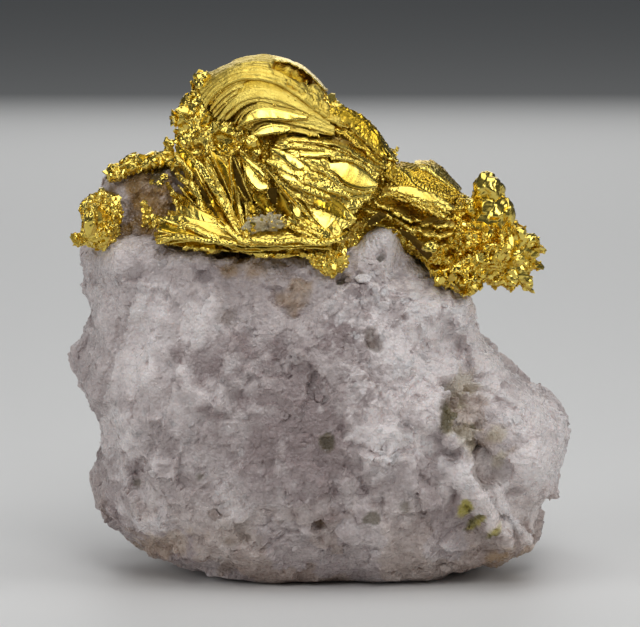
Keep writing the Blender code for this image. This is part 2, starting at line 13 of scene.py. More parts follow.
import bmesh
import bpy
import numpy as np
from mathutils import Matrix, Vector


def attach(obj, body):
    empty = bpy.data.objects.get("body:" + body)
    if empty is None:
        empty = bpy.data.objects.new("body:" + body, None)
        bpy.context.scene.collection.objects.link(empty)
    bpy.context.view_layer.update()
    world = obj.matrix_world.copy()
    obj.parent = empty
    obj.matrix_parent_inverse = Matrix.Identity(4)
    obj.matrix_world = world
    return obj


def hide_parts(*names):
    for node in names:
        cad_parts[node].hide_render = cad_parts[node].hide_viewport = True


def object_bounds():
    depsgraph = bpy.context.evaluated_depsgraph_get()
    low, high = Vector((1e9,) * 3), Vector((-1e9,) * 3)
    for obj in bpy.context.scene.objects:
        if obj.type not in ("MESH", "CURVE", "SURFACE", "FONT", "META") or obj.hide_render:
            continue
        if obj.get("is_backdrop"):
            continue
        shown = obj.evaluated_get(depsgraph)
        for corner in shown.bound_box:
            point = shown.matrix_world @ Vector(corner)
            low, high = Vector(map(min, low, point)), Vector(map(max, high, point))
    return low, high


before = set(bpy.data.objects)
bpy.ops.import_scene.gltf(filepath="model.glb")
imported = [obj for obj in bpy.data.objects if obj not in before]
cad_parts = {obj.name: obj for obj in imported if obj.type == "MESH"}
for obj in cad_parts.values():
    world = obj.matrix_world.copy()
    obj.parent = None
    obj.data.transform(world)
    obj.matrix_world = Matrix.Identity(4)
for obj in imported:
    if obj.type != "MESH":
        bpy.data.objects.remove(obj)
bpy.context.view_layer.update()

# %% [markdown]
# ## Units
#
# All sizes below are in millimetres, because they are easier to read than metres for a thing of this
# size. The part was moved by a fraction of a millimetre to bring its middle over the origin, and the
# same shift is added when a mesh is made. So a point here has the same numbers as in the part's tables.

# %% Units
MM = 0.001
CENTRING = np.array([0.006, 0.421, 0.0])
TINY = 1e-9  # keeps a length or a sum of weights above nought

# %% [markdown]
# ## Noise as whole arrays
#
# Nature's surfaces need random numbers that depend only on the place. Blender has such noise, but it
# takes one point at a time. Here the numbers of a lattice corner are mixed into one large number, and
# numpy does that for a hundred thousand points in one go.

# %% Random numbers on a lattice
FACTORS = [np.uint64(k) for k in (0x9E3779B97F4A7C15, 0xC2B2AE3D27D4EB4F, 0x165667B19E3779F9)]
LAST_FACTOR = 0xBF58476D1CE4E5B9
WORD = 0xFFFFFFFFFFFFFFFF


def lattice_random(corner, salt):
    """A random number from 0 to 1 for each corner: the sum of its three whole numbers times large odd
    factors, stirred by two shifts and a product."""
    whole = np.ascontiguousarray(corner, dtype=np.int64).view(np.uint64)
    mixed = whole[..., 0] * FACTORS[0] + whole[..., 1] * FACTORS[1] + whole[..., 2] * FACTORS[2]
    mixed = mixed + np.uint64((salt * LAST_FACTOR) & WORD)
    mixed = (mixed ^ (mixed >> np.uint64(29))) * np.uint64(LAST_FACTOR)
    mixed = mixed ^ (mixed >> np.uint64(32))
    return (mixed >> np.uint64(40)).astype(float) / 2**24


def soft_noise(points, size, salt=0):
    """Smooth noise from -1 to 1: the random numbers of the eight corners around a point, blended by
    3 t² - 2 t³ along each axis."""
    q = points / size
    low = np.floor(q)
    t = q - low
    t = t * t * (3 - 2 * t)
    total = np.zeros(q.shape[:-1])
    for step in itertools.product((0, 1), repeat=3):
        weight = np.prod(np.where(step, t, 1 - t), axis=-1)
        total += weight * lattice_random(low + step, salt)
    return 2 * total - 1


def fractal(points, size, octaves=4, salt=0):
    """Octaves of soft noise added up: each has half the size and 0.55 of the height of the last."""
    return sum(0.55**k * soft_noise(points, size / 2**k, salt + 31 * k) for k in range(octaves))


points = np.random.default_rng(1).uniform(-9, 9, (1000, 3))
print("noise lies from %.2f to %.2f" % (fractal(points, 3.0).min(), fractal(points, 3.0).max()))

# %% [markdown]
# ## Broken faces
#
# Quartz has no cleavage: it breaks into small flat or shell-like chips that meet at sharp steps. Seeds
# are scattered one to a lattice cell, each point belongs to its nearest seed, and each seed carries its
# own tilted plane. That gives flat chips with ragged cliffs between them, which plain noise can't.

# %% Scattered cells and chips


def scattered_cells(points, size, salt=0):
    """The distances to the nearest and the next seed in cells, the vector from the nearest seed, and its
    lattice corner. Each lattice cell holds one seed at a random place, and 27 cells are searched."""
    q = points / size
    home = np.floor(q)
    near, next_near = np.full(len(q), 9.0), np.full(len(q), 9.0)
    away, owner = np.zeros_like(q), np.zeros_like(q)
    for step in itertools.product((-1, 0, 1), repeat=3):
        corner = home + step
        seed = corner + np.stack([lattice_random(corner, salt + k) for k in range(3)], axis=-1)
        offset = q - seed
        distance = np.linalg.norm(offset, axis=-1)
        closer = distance < near
        next_near = np.where(closer, near, np.minimum(next_near, distance))
        near = np.where(closer, distance, near)
        away[closer], owner[closer] = offset[closer], corner[closer]
    return near, next_near, away, owner


def chips(points, size, depth, salt=0):
    """The height of a broken surface: depth times (2.2 times the tilt · the vector from the seed, plus a
    random rise from -0.5 to 0.5)."""
    away, owner = scattered_cells(points, size, salt)[2:]
    tilt = np.stack([lattice_random(owner, salt + 5 + k) for k in range(3)], axis=-1) - 0.5
    return depth * (2.2 * (tilt * away).sum(-1) + lattice_random(owner, salt + 9) - 0.5)


def smooth_step(low, high, values):
    """0 below low, 1 above high, 3 t² - 2 t³ between them."""
    t = np.clip((values - low) / (high - low), 0, 1)
    return t * t * (3 - 2 * t)


print("chips lie from %.2f to %.2f" % (chips(points, 3.0, 1.0).min(), chips(points, 3.0, 1.0).max()))

# %% [markdown]
# ## From arrays to a piece
#
# A surface is a grid of points, so its faces are the grid's squares. A mesh is filled from arrays in one
# go, because setting a hundred thousand points one by one would be slow. Numbers stored on its points
# tell the finish where a stain or a slit lies.

# %% A piece from points and faces


def grid_faces(rows, columns, wrapped=False):
    """The squares of a grid of rows × columns points, numbered row by row. A wrapped grid's last column
    joins its first."""
    number = np.arange(rows * columns).reshape(rows, columns)
    if wrapped:
        number = np.concatenate([number, number[:, :1]], axis=1)
    corners = [number[:-1, :-1], number[:-1, 1:], number[1:, 1:], number[1:, :-1]]
    return np.stack(corners, axis=-1).reshape(-1, 4)


def copies(faces, count, size):
    """The faces of several copies of a mesh of `size` points, numbered on from copy to copy."""
    return (faces[None] + size * np.arange(count)[:, None, None]).reshape(-1, faces.shape[1])


def piece(name, points, faces, finish, uv=None, values=None, smooth=True):
    """A mesh object from points in millimetres and faces, riding on the part's one body. `uv` gives a pair
    in millimetres for each point, and `values` named numbers for each point."""
    mesh = bpy.data.meshes.new(name)
    mesh.vertices.add(len(points))
    mesh.vertices.foreach_set("co", ((points + CENTRING) * MM).astype(np.float32).ravel())
    sizes = np.full(len(faces), faces.shape[1])
    mesh.loops.add(int(sizes.sum()))
    mesh.loops.foreach_set("vertex_index", faces.astype(np.int32).ravel())
    mesh.polygons.add(len(faces))
    mesh.polygons.foreach_set("loop_start", (np.cumsum(sizes) - sizes).astype(np.int32))
    mesh.polygons.foreach_set("use_smooth", np.full(len(faces), smooth))
    mesh.update(calc_edges=True)
    mesh.validate()
    if uv is not None:
        layer = mesh.uv_layers.new(name="along")
        layer.uv.foreach_set("vector", (uv[faces.ravel()] * MM).astype(np.float32).ravel())
    for value_name, value in (values or {}).items():
        layer = mesh.attributes.new(value_name, "FLOAT", "POINT")
        layer.data.foreach_set("value", np.asarray(value, np.float32))
    made = bpy.data.objects.new(name, mesh)
    bpy.context.scene.collection.objects.link(made)
    mesh.materials.append(finish)
    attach(made, "root")
    print(f"{name}: {int((faces.shape[1] - 2) * len(faces))} triangles")
    return made


# %% [markdown]
# A closed leaf is two grids, a front and a back, that share the points of their border: the rim is then
# a knife edge with no hole in it, which is what beaten or grown leaf looks like.

# %% Closed leaves


def normals_of(surface):
    """Unit normals of surfaces of shape (..., rows, columns, 3): the cross product of the steps along a
    row and along a column."""
    along, across = np.gradient(surface, axis=-2), np.gradient(surface, axis=-3)
    normal = np.cross(along, across)
    return normal / np.maximum(np.linalg.norm(normal, axis=-1, keepdims=True), TINY)


def closed_leaves(middle, thickness):
    """Points and faces of closed leaves from their middle surfaces, of shape (leaves, rows, columns, 3).

    The front is half the thickness out along the normal and the back half of it in. Both share the points
    of the border, where the thickness is left out."""
    leaves, rows, columns = middle.shape[:3]
    half = 0.5 * thickness * normals_of(middle)
    half[:, [0, -1]] = 0
    half[:, :, [0, -1]] = 0
    front = (middle + half).reshape(leaves, -1, 3)
    back = (middle - half)[:, 1:-1, 1:-1].reshape(leaves, -1, 3)
    front_number = np.arange(rows * columns).reshape(rows, columns)
    back_number = front_number.copy()
    back_number[1:-1, 1:-1] = rows * columns + np.arange((rows - 2) * (columns - 2)).reshape(rows - 2, -1)
    squares = grid_faces(rows, columns)
    one = np.concatenate([squares, back_number.ravel()[squares][:, ::-1]])
    points = np.concatenate([front, back], axis=1)
    return points.reshape(-1, 3), copies(one, leaves, points.shape[1])


# %% [markdown]
# ## Effects that several materials use
#
# Grain, and the pattern of chips, are wanted in the gold and in the quartz. Each is a node group with
# named sockets, so each material sets its own size and strength. A group only puts out numbers and
# colours: the shader stays in the material, because the export reads it there.

# %% Node helpers


def add_node(tree, kind, settings=None, **inputs):
    """A shader node. `settings` are its own properties, and each input is a socket to link or a value."""
    made = tree.nodes.new("ShaderNode" + kind)
    for key, value in (settings or {}).items():
        setattr(made, key, value)
    for key, value in inputs.items():
        socket = made.inputs[key.replace("_", " ") if not key.startswith("i") else int(key[1:])]
        if isinstance(value, bpy.types.NodeSocket):
            tree.links.new(value, socket)
        else:
            socket.default_value = value
    return made


def calculate(tree, operation, first, second=0.0):
    """A Math node's output."""
    return add_node(tree, "Math", {"operation": operation}, i0=first, i1=second).outputs[0]


def mixed(tree, factor, first, second):
    """The colour that a Mix node makes of two colours."""
    made = tree.nodes.new("ShaderNodeMix")
    made.data_type = "RGBA"
    for index, value in ((0, factor), (6, first), (7, second)):
        if isinstance(value, bpy.types.NodeSocket):
            tree.links.new(value, made.inputs[index])
        else:
            made.inputs[index].default_value = value
    return made.outputs[2]


def stretched(tree, value, low, high, to_low=0.0, to_high=1.0):
    """A Map Range node's output: low to high becomes to_low to to_high."""
    made = add_node(tree, "MapRange", {"interpolation_type": "SMOOTHSTEP"})
    tree.links.new(value, made.inputs[0])
    for index, number in enumerate((low, high, to_low, to_high), start=1):
        made.inputs[index].default_value = number
    return made.outputs[0]


def named_group(name, inputs, outputs):
    """A new shader node group with float inputs and named outputs, and its two end nodes."""
    tree = bpy.data.node_groups.new(name, "ShaderNodeTree")
    tree.interface.new_socket("Place", in_out="INPUT", socket_type="NodeSocketVector")
    for socket_name, value in inputs.items():
        socket = tree.interface.new_socket(socket_name, in_out="INPUT", socket_type="NodeSocketFloat")
        socket.default_value = value
    for socket_name in outputs:
        tree.interface.new_socket(socket_name, in_out="OUTPUT", socket_type="NodeSocketFloat")
    return tree, tree.nodes.new("NodeGroupInput").outputs, tree.nodes.new("NodeGroupOutput").inputs


# %% [markdown]
# The grain group has two sizes of noise. The facet group reads scattered cells: each cell gets a random
# tone, and the tone less the distance from the cell's seed is the rise of a small blunt crystal.

# %% The shared groups
GRAIN_INPUTS = {"Grain per metre": 4000.0, "Mottle per metre": 600.0}
grain, entry, leaving = named_group("fine_grain", GRAIN_INPUTS, ["Grain", "Mottle"])
for output, detail, roughness in (("Grain", 3.0, 0.65), ("Mottle", 5.0, 0.6)):
    scale = entry[output + " per metre"]
    settings = {"Scale": scale, "Detail": detail, "Roughness": roughness}
    noise = add_node(grain, "TexNoise", Vector=entry["Place"], **settings)
    grain.links.new(noise.outputs[0], leaving[output])

facets, entry, leaving = named_group("small_facets", {"Facets per metre": 1500.0}, ["Tone", "Rise"])
cell = add_node(facets, "TexVoronoi", Vector=entry["Place"], Scale=entry["Facets per metre"])
tone = add_node(facets, "SeparateColor", Color=cell.outputs["Color"]).outputs[0]
facets.links.new(tone, leaving["Tone"])
facets.links.new(calculate(facets, "SUBTRACT", tone, cell.outputs["Distance"]), leaving["Rise"])


def use_group(tree, group, place, **inputs):
    """The outputs of a group placed in a material."""
    made = tree.nodes.new("ShaderNodeGroup")
    made.node_tree = group
    tree.links.new(place, made.inputs["Place"])
    for key, value in inputs.items():
        made.inputs[key.replace("_", " ")].default_value = value
    return made.outputs


def new_finish(name):
    """A material with its tree, its Principled shader and its Object coordinates."""
    made = bpy.data.materials.new(name)
    made.use_nodes = True
    tree = made.node_tree
    place = add_node(tree, "TexCoord").outputs["Object"]
    return made, tree, tree.nodes["Principled BSDF"], place


def bump(tree, height, depth, strength, under=None):
    """The normal of a bump of that depth in millimetres, over another normal."""
    made = add_node(tree, "Bump", Height=height, Distance=depth * MM, Strength=strength)
    if under is not None:
        tree.links.new(under, made.inputs["Normal"])
    return made.outputs[0]


print("groups:", [group.name for group in bpy.data.node_groups])

# %% [markdown]
# ## Milky quartz
#
# Vein quartz is white from millions of tiny water pockets, clear where it has none, and it glows a
# little because light travels a few millimetres inside it. Subsurface scattering gives that glow. The
# tone goes from mauve-grey to white with the cloud of pockets, and single chips differ. Painted shade
# also darkens it towards the foot, over the middle of the front and in hollows. The knob is smoky, iron
# has stained the block ochre in places and left thin yellow films, and a little chlorite makes dark
# green specks. Painted shadow lies under the gold's lower rim and painted shade in the valley.
#
# The stains follow the surface, so they are numbers stored on the points, worked out with the shape.

# %% The quartz finish
milky_quartz, tree, shader, place = new_finish("milky_quartz")
fine = use_group(tree, grain, place, Grain_per_metre=5200.0, Mottle_per_metre=420.0)
coarse = use_group(tree, facets, place, Facets_per_metre=900.0)
sugar = use_group(tree, facets, place, Facets_per_metre=2600.0)


def stored(tree, name):
    """The number of that name stored on the mesh."""
    made = tree.nodes.new("ShaderNodeAttribute")
    made.attribute_name = name
    return made.outputs["Fac"]


# The cloud number also carries painted shade. It is lower towards the foot, over the middle of the front
# and in hollows, and higher where the surface stands out.
cloud_and_shade = calculate(tree, "ADD", stored(tree, "cloud_and_shade"), calculate(tree, "MULTIPLY", fine["Mottle"], 0.08))
cloud_and_shade = calculate(tree, "ADD", cloud_and_shade, calculate(tree, "MULTIPLY", coarse["Tone"], 0.08))
cloud_and_shade = stretched(tree, cloud_and_shade, 0.10, 1.10)
tint = mixed(tree, cloud_and_shade, (0.375, 0.30, 0.295, 1), (0.92, 0.84, 0.83, 1))
# The smoke number darkens towards smoky brown. It is real smoky quartz on the knob, and painted shadow
# under the gold's lower rim and painted shade in the valley.
tint = mixed(tree, stored(tree, "smoke_and_shade"), tint, (0.14, 0.08, 0.03, 1))
tint = mixed(tree, stored(tree, "ochre"), tint, (0.42, 0.25, 0.085, 1))
tint = mixed(tree, stored(tree, "yellow"), tint, (0.50, 0.43, 0.11, 1))
tint = mixed(tree, stored(tree, "green"), tint, (0.095, 0.075, 0.022, 1))
tree.links.new(tint, shader.inputs["Base Color"])
glint = stretched(tree, sugar["Tone"], 0.30, 0.85, 0.42, 0.08)
tree.links.new(glint, shader.inputs["Roughness"])
under = bump(tree, coarse["Rise"], 0.5, 0.6)
under = bump(tree, sugar["Rise"], 0.3, 0.65, under)
under = bump(tree, fine["Grain"], 0.05, 0.5, under)
tree.links.new(under, shader.inputs["Normal"])
shader.inputs["IOR"].default_value = 1.54
shader.inputs["Subsurface Weight"].default_value = 0.42
shader.inputs["Subsurface Radius"].default_value = (1.0, 0.86, 0.78)
shader.inputs["Subsurface Scale"].default_value = 0.0008

# %% [markdown]
# ## Native gold
#
# Gold's colour is its reflection, so the shader is all metal and the base colour is what it does to
# white light. What differs between the parts of the growth is how rough they are: the cap is satin with
# a fine grain, the leaves are bright with streaks that run along them, a few broad plates are polished,
# and the crust is a mass of small crystals. Some slits hold dull sheets coloured nearly black as painted
# shade. In the slits gold reflects gold, which makes it deeper in colour, so the tint also goes towards
# orange away from the free edge of a leaf: a painted reflection.

# %% The gold finishes
BRIGHT_GOLD = (0.88, 0.685, 0.15, 1)
DEEP_GOLD = (0.68, 0.44, 0.035, 1)
# The next two colours are painted shade: the near-black of a shadowed slit, put into the base colour.
SLIT_SHADE = (0.11, 0.065, 0.012, 1)
DARK_SLIT_SHADE = (0.05, 0.025, 0.005, 1)


def gold_finish(
    name, smoothest, roughest, grain_size, grain_depth, facet_size, facet_depth, streaks=0.0,
    light=BRIGHT_GOLD, dark=DEEP_GOLD,
):
    """A gold from its roughness range and the sizes and depths, in millimetres, of grain, facets and
    streaks. The facets are only as deep as the surface is crumpled."""
    made, tree, shader, place = new_finish(name)
    fine = use_group(tree, grain, place, Grain_per_metre=1 / (grain_size * MM), Mottle_per_metre=500.0)
    small = use_group(tree, facets, place, Facets_per_metre=1 / (facet_size * MM))
    deep = calculate(tree, "MULTIPLY", stretched(tree, fine["Mottle"], 0.42, 0.7), 0.35)
    # The depth number paints a reflection of gold in gold: the tint goes towards the dark colour away from
    # free edges and in slits.
    deep = calculate(tree, "MAXIMUM", deep, stored(tree, "depth"))
    tint = mixed(tree, deep, light, dark)
    tree.links.new(tint, shader.inputs["Base Color"])
    shader.inputs["Metallic"].default_value = 1.0
    rough = stretched(tree, fine["Mottle"], 0.35, 0.68, smoothest, roughest)
    tree.links.new(rough, shader.inputs["Roughness"])
    rise = calculate(tree, "MULTIPLY", small["Rise"], stored(tree, "crumple"))
    normal = bump(tree, rise, facet_depth, 0.6)
    normal = bump(tree, fine["Grain"], grain_depth, 0.6, normal)
    if streaks:
        along = add_node(tree, "UVMap").outputs[0]
        drawn = add_node(tree, "Mapping", Vector=along, Scale=(160.0, 2600.0, 1.0)).outputs[0]
        lines = add_node(tree, "TexNoise", Vector=drawn, Scale=1.0, Detail=3.0, Roughness=0.55).outputs[0]
        normal = bump(tree, lines, streaks, 0.5, normal)
    tree.links.new(normal, shader.inputs["Normal"])
    return made


satin_gold = gold_finish("satin_gold", 0.38, 0.52, 0.36, 0.20, 0.6, 0.05, streaks=0.14)
leaf_gold = gold_finish("leaf_gold", 0.20, 0.34, 0.18, 0.012, 0.5, 0.16, streaks=0.05)
crystal_gold = gold_finish("crystal_gold", 0.16, 0.30, 0.20, 0.02, 0.40, 0.20)
polished_gold = gold_finish("polished_gold", 0.18, 0.28, 0.35, 0.012, 1.4, 0.05)
# The last gold is painted shade: dull and nearly black, for the sheets in the slits.
painted_shade_gold = gold_finish("painted_shade_gold", 0.40, 0.55, 0.20, 0.03, 0.5, 0.2, light=SLIT_SHADE, dark=DARK_SLIT_SHADE)
print("finishes:", [made.name for made in bpy.data.materials])

# %% [markdown]
# ## The block of quartz
#
# It could be lofted anew, but the solid already has the right form from every side. So its mesh is
# copied, closed with a voxel remesh, and smoothed until the solid's own flat triangles are gone. Then
# every point moves along its normal by a height that is worked out from its place: chips of three sizes,
# soft noise, pits, slabs with ledges between them on the upper left, a valley on the right, and two
# places where the quartz rises in front of the gold.

# %% A fine copy of a solid


def fine_copy(node, voxel, smoothing):
    """Points, normals and faces, in the tables' millimetres, of a CAD node remeshed and smoothed."""
    merged = bmesh.new()
    merged.from_mesh(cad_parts[node].data)
    bmesh.ops.remove_doubles(merged, verts=merged.verts, dist=1e-7)
    mesh = bpy.data.meshes.new("working_copy")
    merged.to_mesh(mesh)
    merged.free()
    made = bpy.data.objects.new("working_copy", mesh)
    bpy.context.scene.collection.objects.link(made)
    skin = made.modifiers.new("skin", "REMESH")
    skin.mode, skin.voxel_size = "VOXEL", voxel * MM
    ease = made.modifiers.new("ease", "SMOOTH")
    ease.factor, ease.iterations = 0.5, smoothing
    result = made.evaluated_get(bpy.context.evaluated_depsgraph_get()).to_mesh()
    count = len(result.vertices)
    points, normals = np.zeros(count * 3, np.float32), np.zeros(count * 3, np.float32)
    result.vertices.foreach_get("co", points)
    result.vertex_normals.foreach_get("vector", normals)
    corners = np.zeros(len(result.loops), np.int32)
    result.loops.foreach_get("vertex_index", corners)
    bpy.data.objects.remove(made)
    points = points.reshape(-1, 3).astype(float) / MM - CENTRING
    return points, normals.reshape(-1, 3).astype(float), corners.reshape(-1, 4)


QUARTZ_VOXEL, GROWTH_VOXEL, TUFT_VOXEL = 0.37, 0.30, 0.16
rock, rock_normals, rock_faces = fine_copy("quartz_matrix", QUARTZ_VOXEL, 12)
print("the block has", len(rock), "points")

# %% [markdown]
# A stain or a pit is a soft spot: a place on the front, two half widths and a lean. Its distance is
# bent by noise so that no spot has a round edge.

# %% Spots on the front


def smooth_line(corners, u):
    """Points at u, from 0 to 1, on the Catmull-Rom line through corners of shape (..., corners, d)."""
    corners = np.asarray(corners, float)
    spans = corners.shape[-2] - 1
    i = np.clip((u * spans).astype(int), 0, spans - 1)
    t = (u * spans - i)[:, None]
    p0, p1, p2, p3 = (corners[..., np.clip(i + k, 0, spans), :] for k in (-1, 0, 1, 2))
    bend = (2 * p0 - 5 * p1 + 4 * p2 - p3) * t**2 + (3 * p1 - p0 - 3 * p2 + p3) * t**3
    return 0.5 * (2 * p1 + (p2 - p0) * t + bend)


def spot(points, x, z, half_x, half_z, lean=0.0, ragged=0.8, soft=1.0):
    """1 in the middle of a spot of the front and 0 outside: 1 minus the squared distance in half widths,
    bent by noise."""
    angle = np.radians(lean)
    dx, dz = points[:, 0] - x, points[:, 2] - z
    a = (np.cos(angle) * dx - np.sin(angle) * dz) / half_x
    b = (np.sin(angle) * dx + np.cos(angle) * dz) / half_z
    bent = a * a + b * b + ragged * fractal(points, 1.6, 3, salt=77)
    return smooth_step(0.0, soft, 1 - bent) * smooth_step(2.0, -4.0, points[:, 1])


def spots(points, places, soft=1.0):
    """The strongest of several spots at each point. Each place ends with its strength."""
    made = np.zeros(len(points))
    for *where, strength in places:
        made = np.maximum(made, strength * spot(points, *where, soft=soft))
    return made


# %% [markdown]
# Pits are spots that go inwards, and each row ends with its strength. On the upper left the rock lies in
# slabs.

# %% Pits and slabs
PITS = [
    (2.4, 37.6, 0.6, 0.45, -20, 1.1),
    (6.8, 39.3, 0.55, 0.5, 10, 1.1),
    (17.0, 22.0, 2.6, 2.7, 30, 1.7),
    (6.1, 30.2, 0.9, 1.7, -30, 0.9),
    (7.4, 17.6, 0.5, 1.6, 15, 0.5),
    (0.8, 18.5, 0.8, 0.9, 0, 0.45),
    (-0.3, 8.6, 0.9, 0.9, 0, 0.9),
    (14.6, 25.0, 1.4, 0.8, 40, 0.5),
    (15.2, 21.4, 0.9, 1.8, 20, 0.9),
    (19.2, 17.6, 1.2, 0.8, 0, 0.6),
    (-22.6, 12.4, 0.5, 0.7, 30, 0.5),
    (-14.6, 15.0, 0.7, 0.5, 0, 0.4),
    (-10.8, 6.8, 2.0, 1.3, 10, 0.5),
    (-17.2, 7.2, 0.7, 0.5, 0, 0.4),
    (21.8, 8.2, 0.6, 2.2, -32, 0.8),
    (5.6, 6.2, 1.3, 0.8, 20, 0.4),
]
PIT_DEPTH = 0.75  # of a pit with a strength of 1
SLAB_LINES = [-28.2, -24.4, -20.6, -16.2, -11.6]


def slabs(points):
    """Slabs that overlap like tiles on the upper left: between lines that lean right, the surface falls
    off to the left in a saw-tooth. Returns its height and where it holds."""
    x, y, z = points.T
    leaning = x - 0.32 * (z - 28) + 0.5 * fractal(points, 6.0, 3, salt=5)
    tooth = np.interp(leaning, SLAB_LINES, np.arange(len(SLAB_LINES))) % 1.0
    holds = np.exp(-(((x + 19.5) / 9.5) ** 4) - ((z - 27.5) / 9.5) ** 4) * smooth_step(0.0, -5.0, y)
    return (0.5 - tooth) * holds, holds


print(len(PITS), "pits and", len(SLAB_LINES) - 1, "slabs")

# %% [markdown]
# On the right a valley runs down to the foot of the block. In two places the quartz also stands up in
# front of the gold, a little further than the solid does.

# %% The valley and the bosses
VALLEY = [(14.4, 27.0), (15.0, 22.5), (17.4, 17.5), (20.2, 12.0), (22.4, 7.0), (24.0, 3.5)]


def valley(points):
    """A valley on the right: its left wall is steep, its right side gentle, and a ridge runs along the
    wall. Returns its height and how deep in it a point is."""
    path = smooth_line(VALLEY, np.linspace(0, 1, 50))
    gap = points[:, None, [0, 2]] + 1.0 * fractal(points, 3.0, 4, salt=15)[:, None, None] - path
    nearest = np.argmin((gap**2).sum(-1), axis=1)
    gap = np.take_along_axis(gap, nearest[:, None, None], 1)[:, 0]
    way = np.gradient(path, axis=0)[nearest]
    aside = (gap[:, 1] * way[:, 0] - gap[:, 0] * way[:, 1]) / np.linalg.norm(way, axis=1)
    along = np.clip(nearest / 49, 0, 1)
    ends = smooth_step(0.0, 0.15, along) * smooth_step(1.0, 0.85, along)
    ends = ends * smooth_step(2.0, -4.0, points[:, 1])
    inside = smooth_step(-0.5, 0.2, aside) * smooth_step(4.6, 0.4, aside)
    near = np.linalg.norm(gap, axis=1) < 6
    deep = 1.1 + 1.1 * fractal(points, 4.0, 2, salt=16)
    return (0.1 * np.exp(-(((aside + 1.5) / 0.9) ** 2)) - deep * inside) * ends * near, inside * ends * near


BOSSES = [(-24.3, 39.8, 2.5, 2.2, 2.4), (7.8, 40.9, 2.8, 1.9, 3.0)]


def bosses(points):
    """Two places where the quartz rises in front of the gold: a rounded shoulder at the tuft's foot, and
    the peak under the right fan. Each is (x, z, half widths, height)."""
    x, y, z = points.T
    rise = sum(h * np.exp(-(np.abs((x - a) / c) ** 1.6) - ((z - b) / d) ** 2) for a, b, c, d, h in BOSSES)
    return rise * smooth_step(-2.0, -6.0, y)


print("a valley of", len(VALLEY), "points, and", len(BOSSES), "bosses")

# %% [markdown]
# All of these are added up to one height, and each point moves along its normal by it. Towards the foot
# the height fades, so that the block still stands on its flat underside.

# %% The broken surface


def rock_height(points):
    """How far the block's surface stands out: chips of three sizes, less deep on the slabs, soft noise,
    the slabs, the bosses, the valley and the pits."""
    bent = points + 0.5 * np.stack([fractal(points, 4.0, 3, salt=3 + 9 * k) for k in range(3)], axis=-1)
    slab, on_slab = slabs(points)
    rough = 1 - 0.75 * on_slab
    height = chips(bent, 6.0, 0.60, salt=11) * rough
    height += chips(bent, 2.6, 0.32, salt=23) * rough
    height += chips(points, 1.2, 0.15, salt=41) * (0.3 + 0.7 * rough)
    height += 0.03 * fractal(points, 0.9, 3, salt=7)
    return height + slab + bosses(points) + valley(points)[0] - PIT_DEPTH * spots(points, PITS, 0.6)


height = rock_height(rock)
above_foot = smooth_step(0.05, 1.6, rock[:, 2])
rock_moved = rock + rock_normals * (height * above_foot)[:, None]
rock_moved[:, 2] = np.maximum(rock_moved[:, 2], 0.0)
print("its surface stands out from %.2f to %.2f mm" % (height.min(), height.max()))

# %% [markdown]
# The numbers that the quartz finish reads. Cloud is high at the upper right and on the slabs and low
# where the block is grey and clear. It also carries painted shade, which falls towards the foot, over the
# middle of the front and in pits and hollows. Smoke darkens the knob, and it also paints shadow under the
# gold's lower rim and shade in the valley. Ochre marks the places under the gold and along the lower
# edge, yellow the films in the hollow and at the valley's foot, and green the few dark specks.
# Each is a list of spots: x, z, the half widths, the lean in degrees and the strength.

# %% Where cloud, smoke, stains and painted shade lie
CLOUDS = [
    (16.0, 30.0, 12.0, 9.0, -40, 0.55),
    (26.0, 17.0, 5.0, 8.0, 20, 0.6),
    (-14.8, 33.2, 2.0, 4.5, 14, 0.65),
    (-21.5, 30.0, 2.6, 8.0, 18, 0.5),
    (22.5, 9.0, 3.0, 7.0, -32, 0.85),
    (8.2, 19.0, 5.6, 5.0, -20, 0.75),
    (17.4, 14.6, 4.4, 3.8, -30, 0.7),
    (-9.6, 19.6, 3.2, 2.8, 0, 0.5),
    (-24.6, 17.5, 3.0, 5.0, 0, 0.4),
    (19.3, 12.3, 4.2, 3.2, -30, 0.55),
    (8.2, 41.0, 4.2, 3.4, 0, 0.6),
    (-15.0, 11.0, 10.0, 9.0, 0, 0.36),
]
# Grey, clear quartz. The large first spot over the middle of the front is also painted shade, where the
# front faces down.
CLEAR_AND_SHADED = [
    (-3.0, 19.0, 13.0, 13.0, 0, 0.34),
    (-12.6, 28.6, 6.5, 4.6, 0, 0.42),
    (1.4, 30.4, 2.8, 2.6, 0, 0.4),
    (-15.5, 12.0, 4.0, 3.0, 0, 0.25),
]
# Darker spots: the knob's smoky quartz and spots on pits. The three rows at z 39.4, 40.8 and 39.8 are
# painted shadow under the gold's lower rim.
SMOKES_AND_SHADOWS = [
    (-21.0, 44.8, 5.6, 4.0, -10, 1.0),
    (-19.6, 48.6, 4.6, 2.4, 10, 0.75),
    (-11.4, 39.4, 3.4, 1.2, 0, 0.55),
    (-11.0, 33.0, 1.8, 1.2, 0, 0.35),
    (-10.6, 7.6, 3.0, 1.8, 15, 0.35),
    (2.4, 37.8, 1.4, 0.7, 0, 0.5),
    (6.1, 30.2, 1.0, 1.8, -30, 0.55),
    (14.9, 21.6, 1.3, 2.8, 10, 0.5),
    (-0.3, 8.6, 0.8, 0.8, 0, 0.7),
    (18.6, 17.4, 2.4, 1.0, -30, 0.4),
    (-16.5, 40.8, 3.4, 1.0, 0, 0.6),
    (-4.0, 39.8, 3.0, 1.0, 0, 0.5),
]
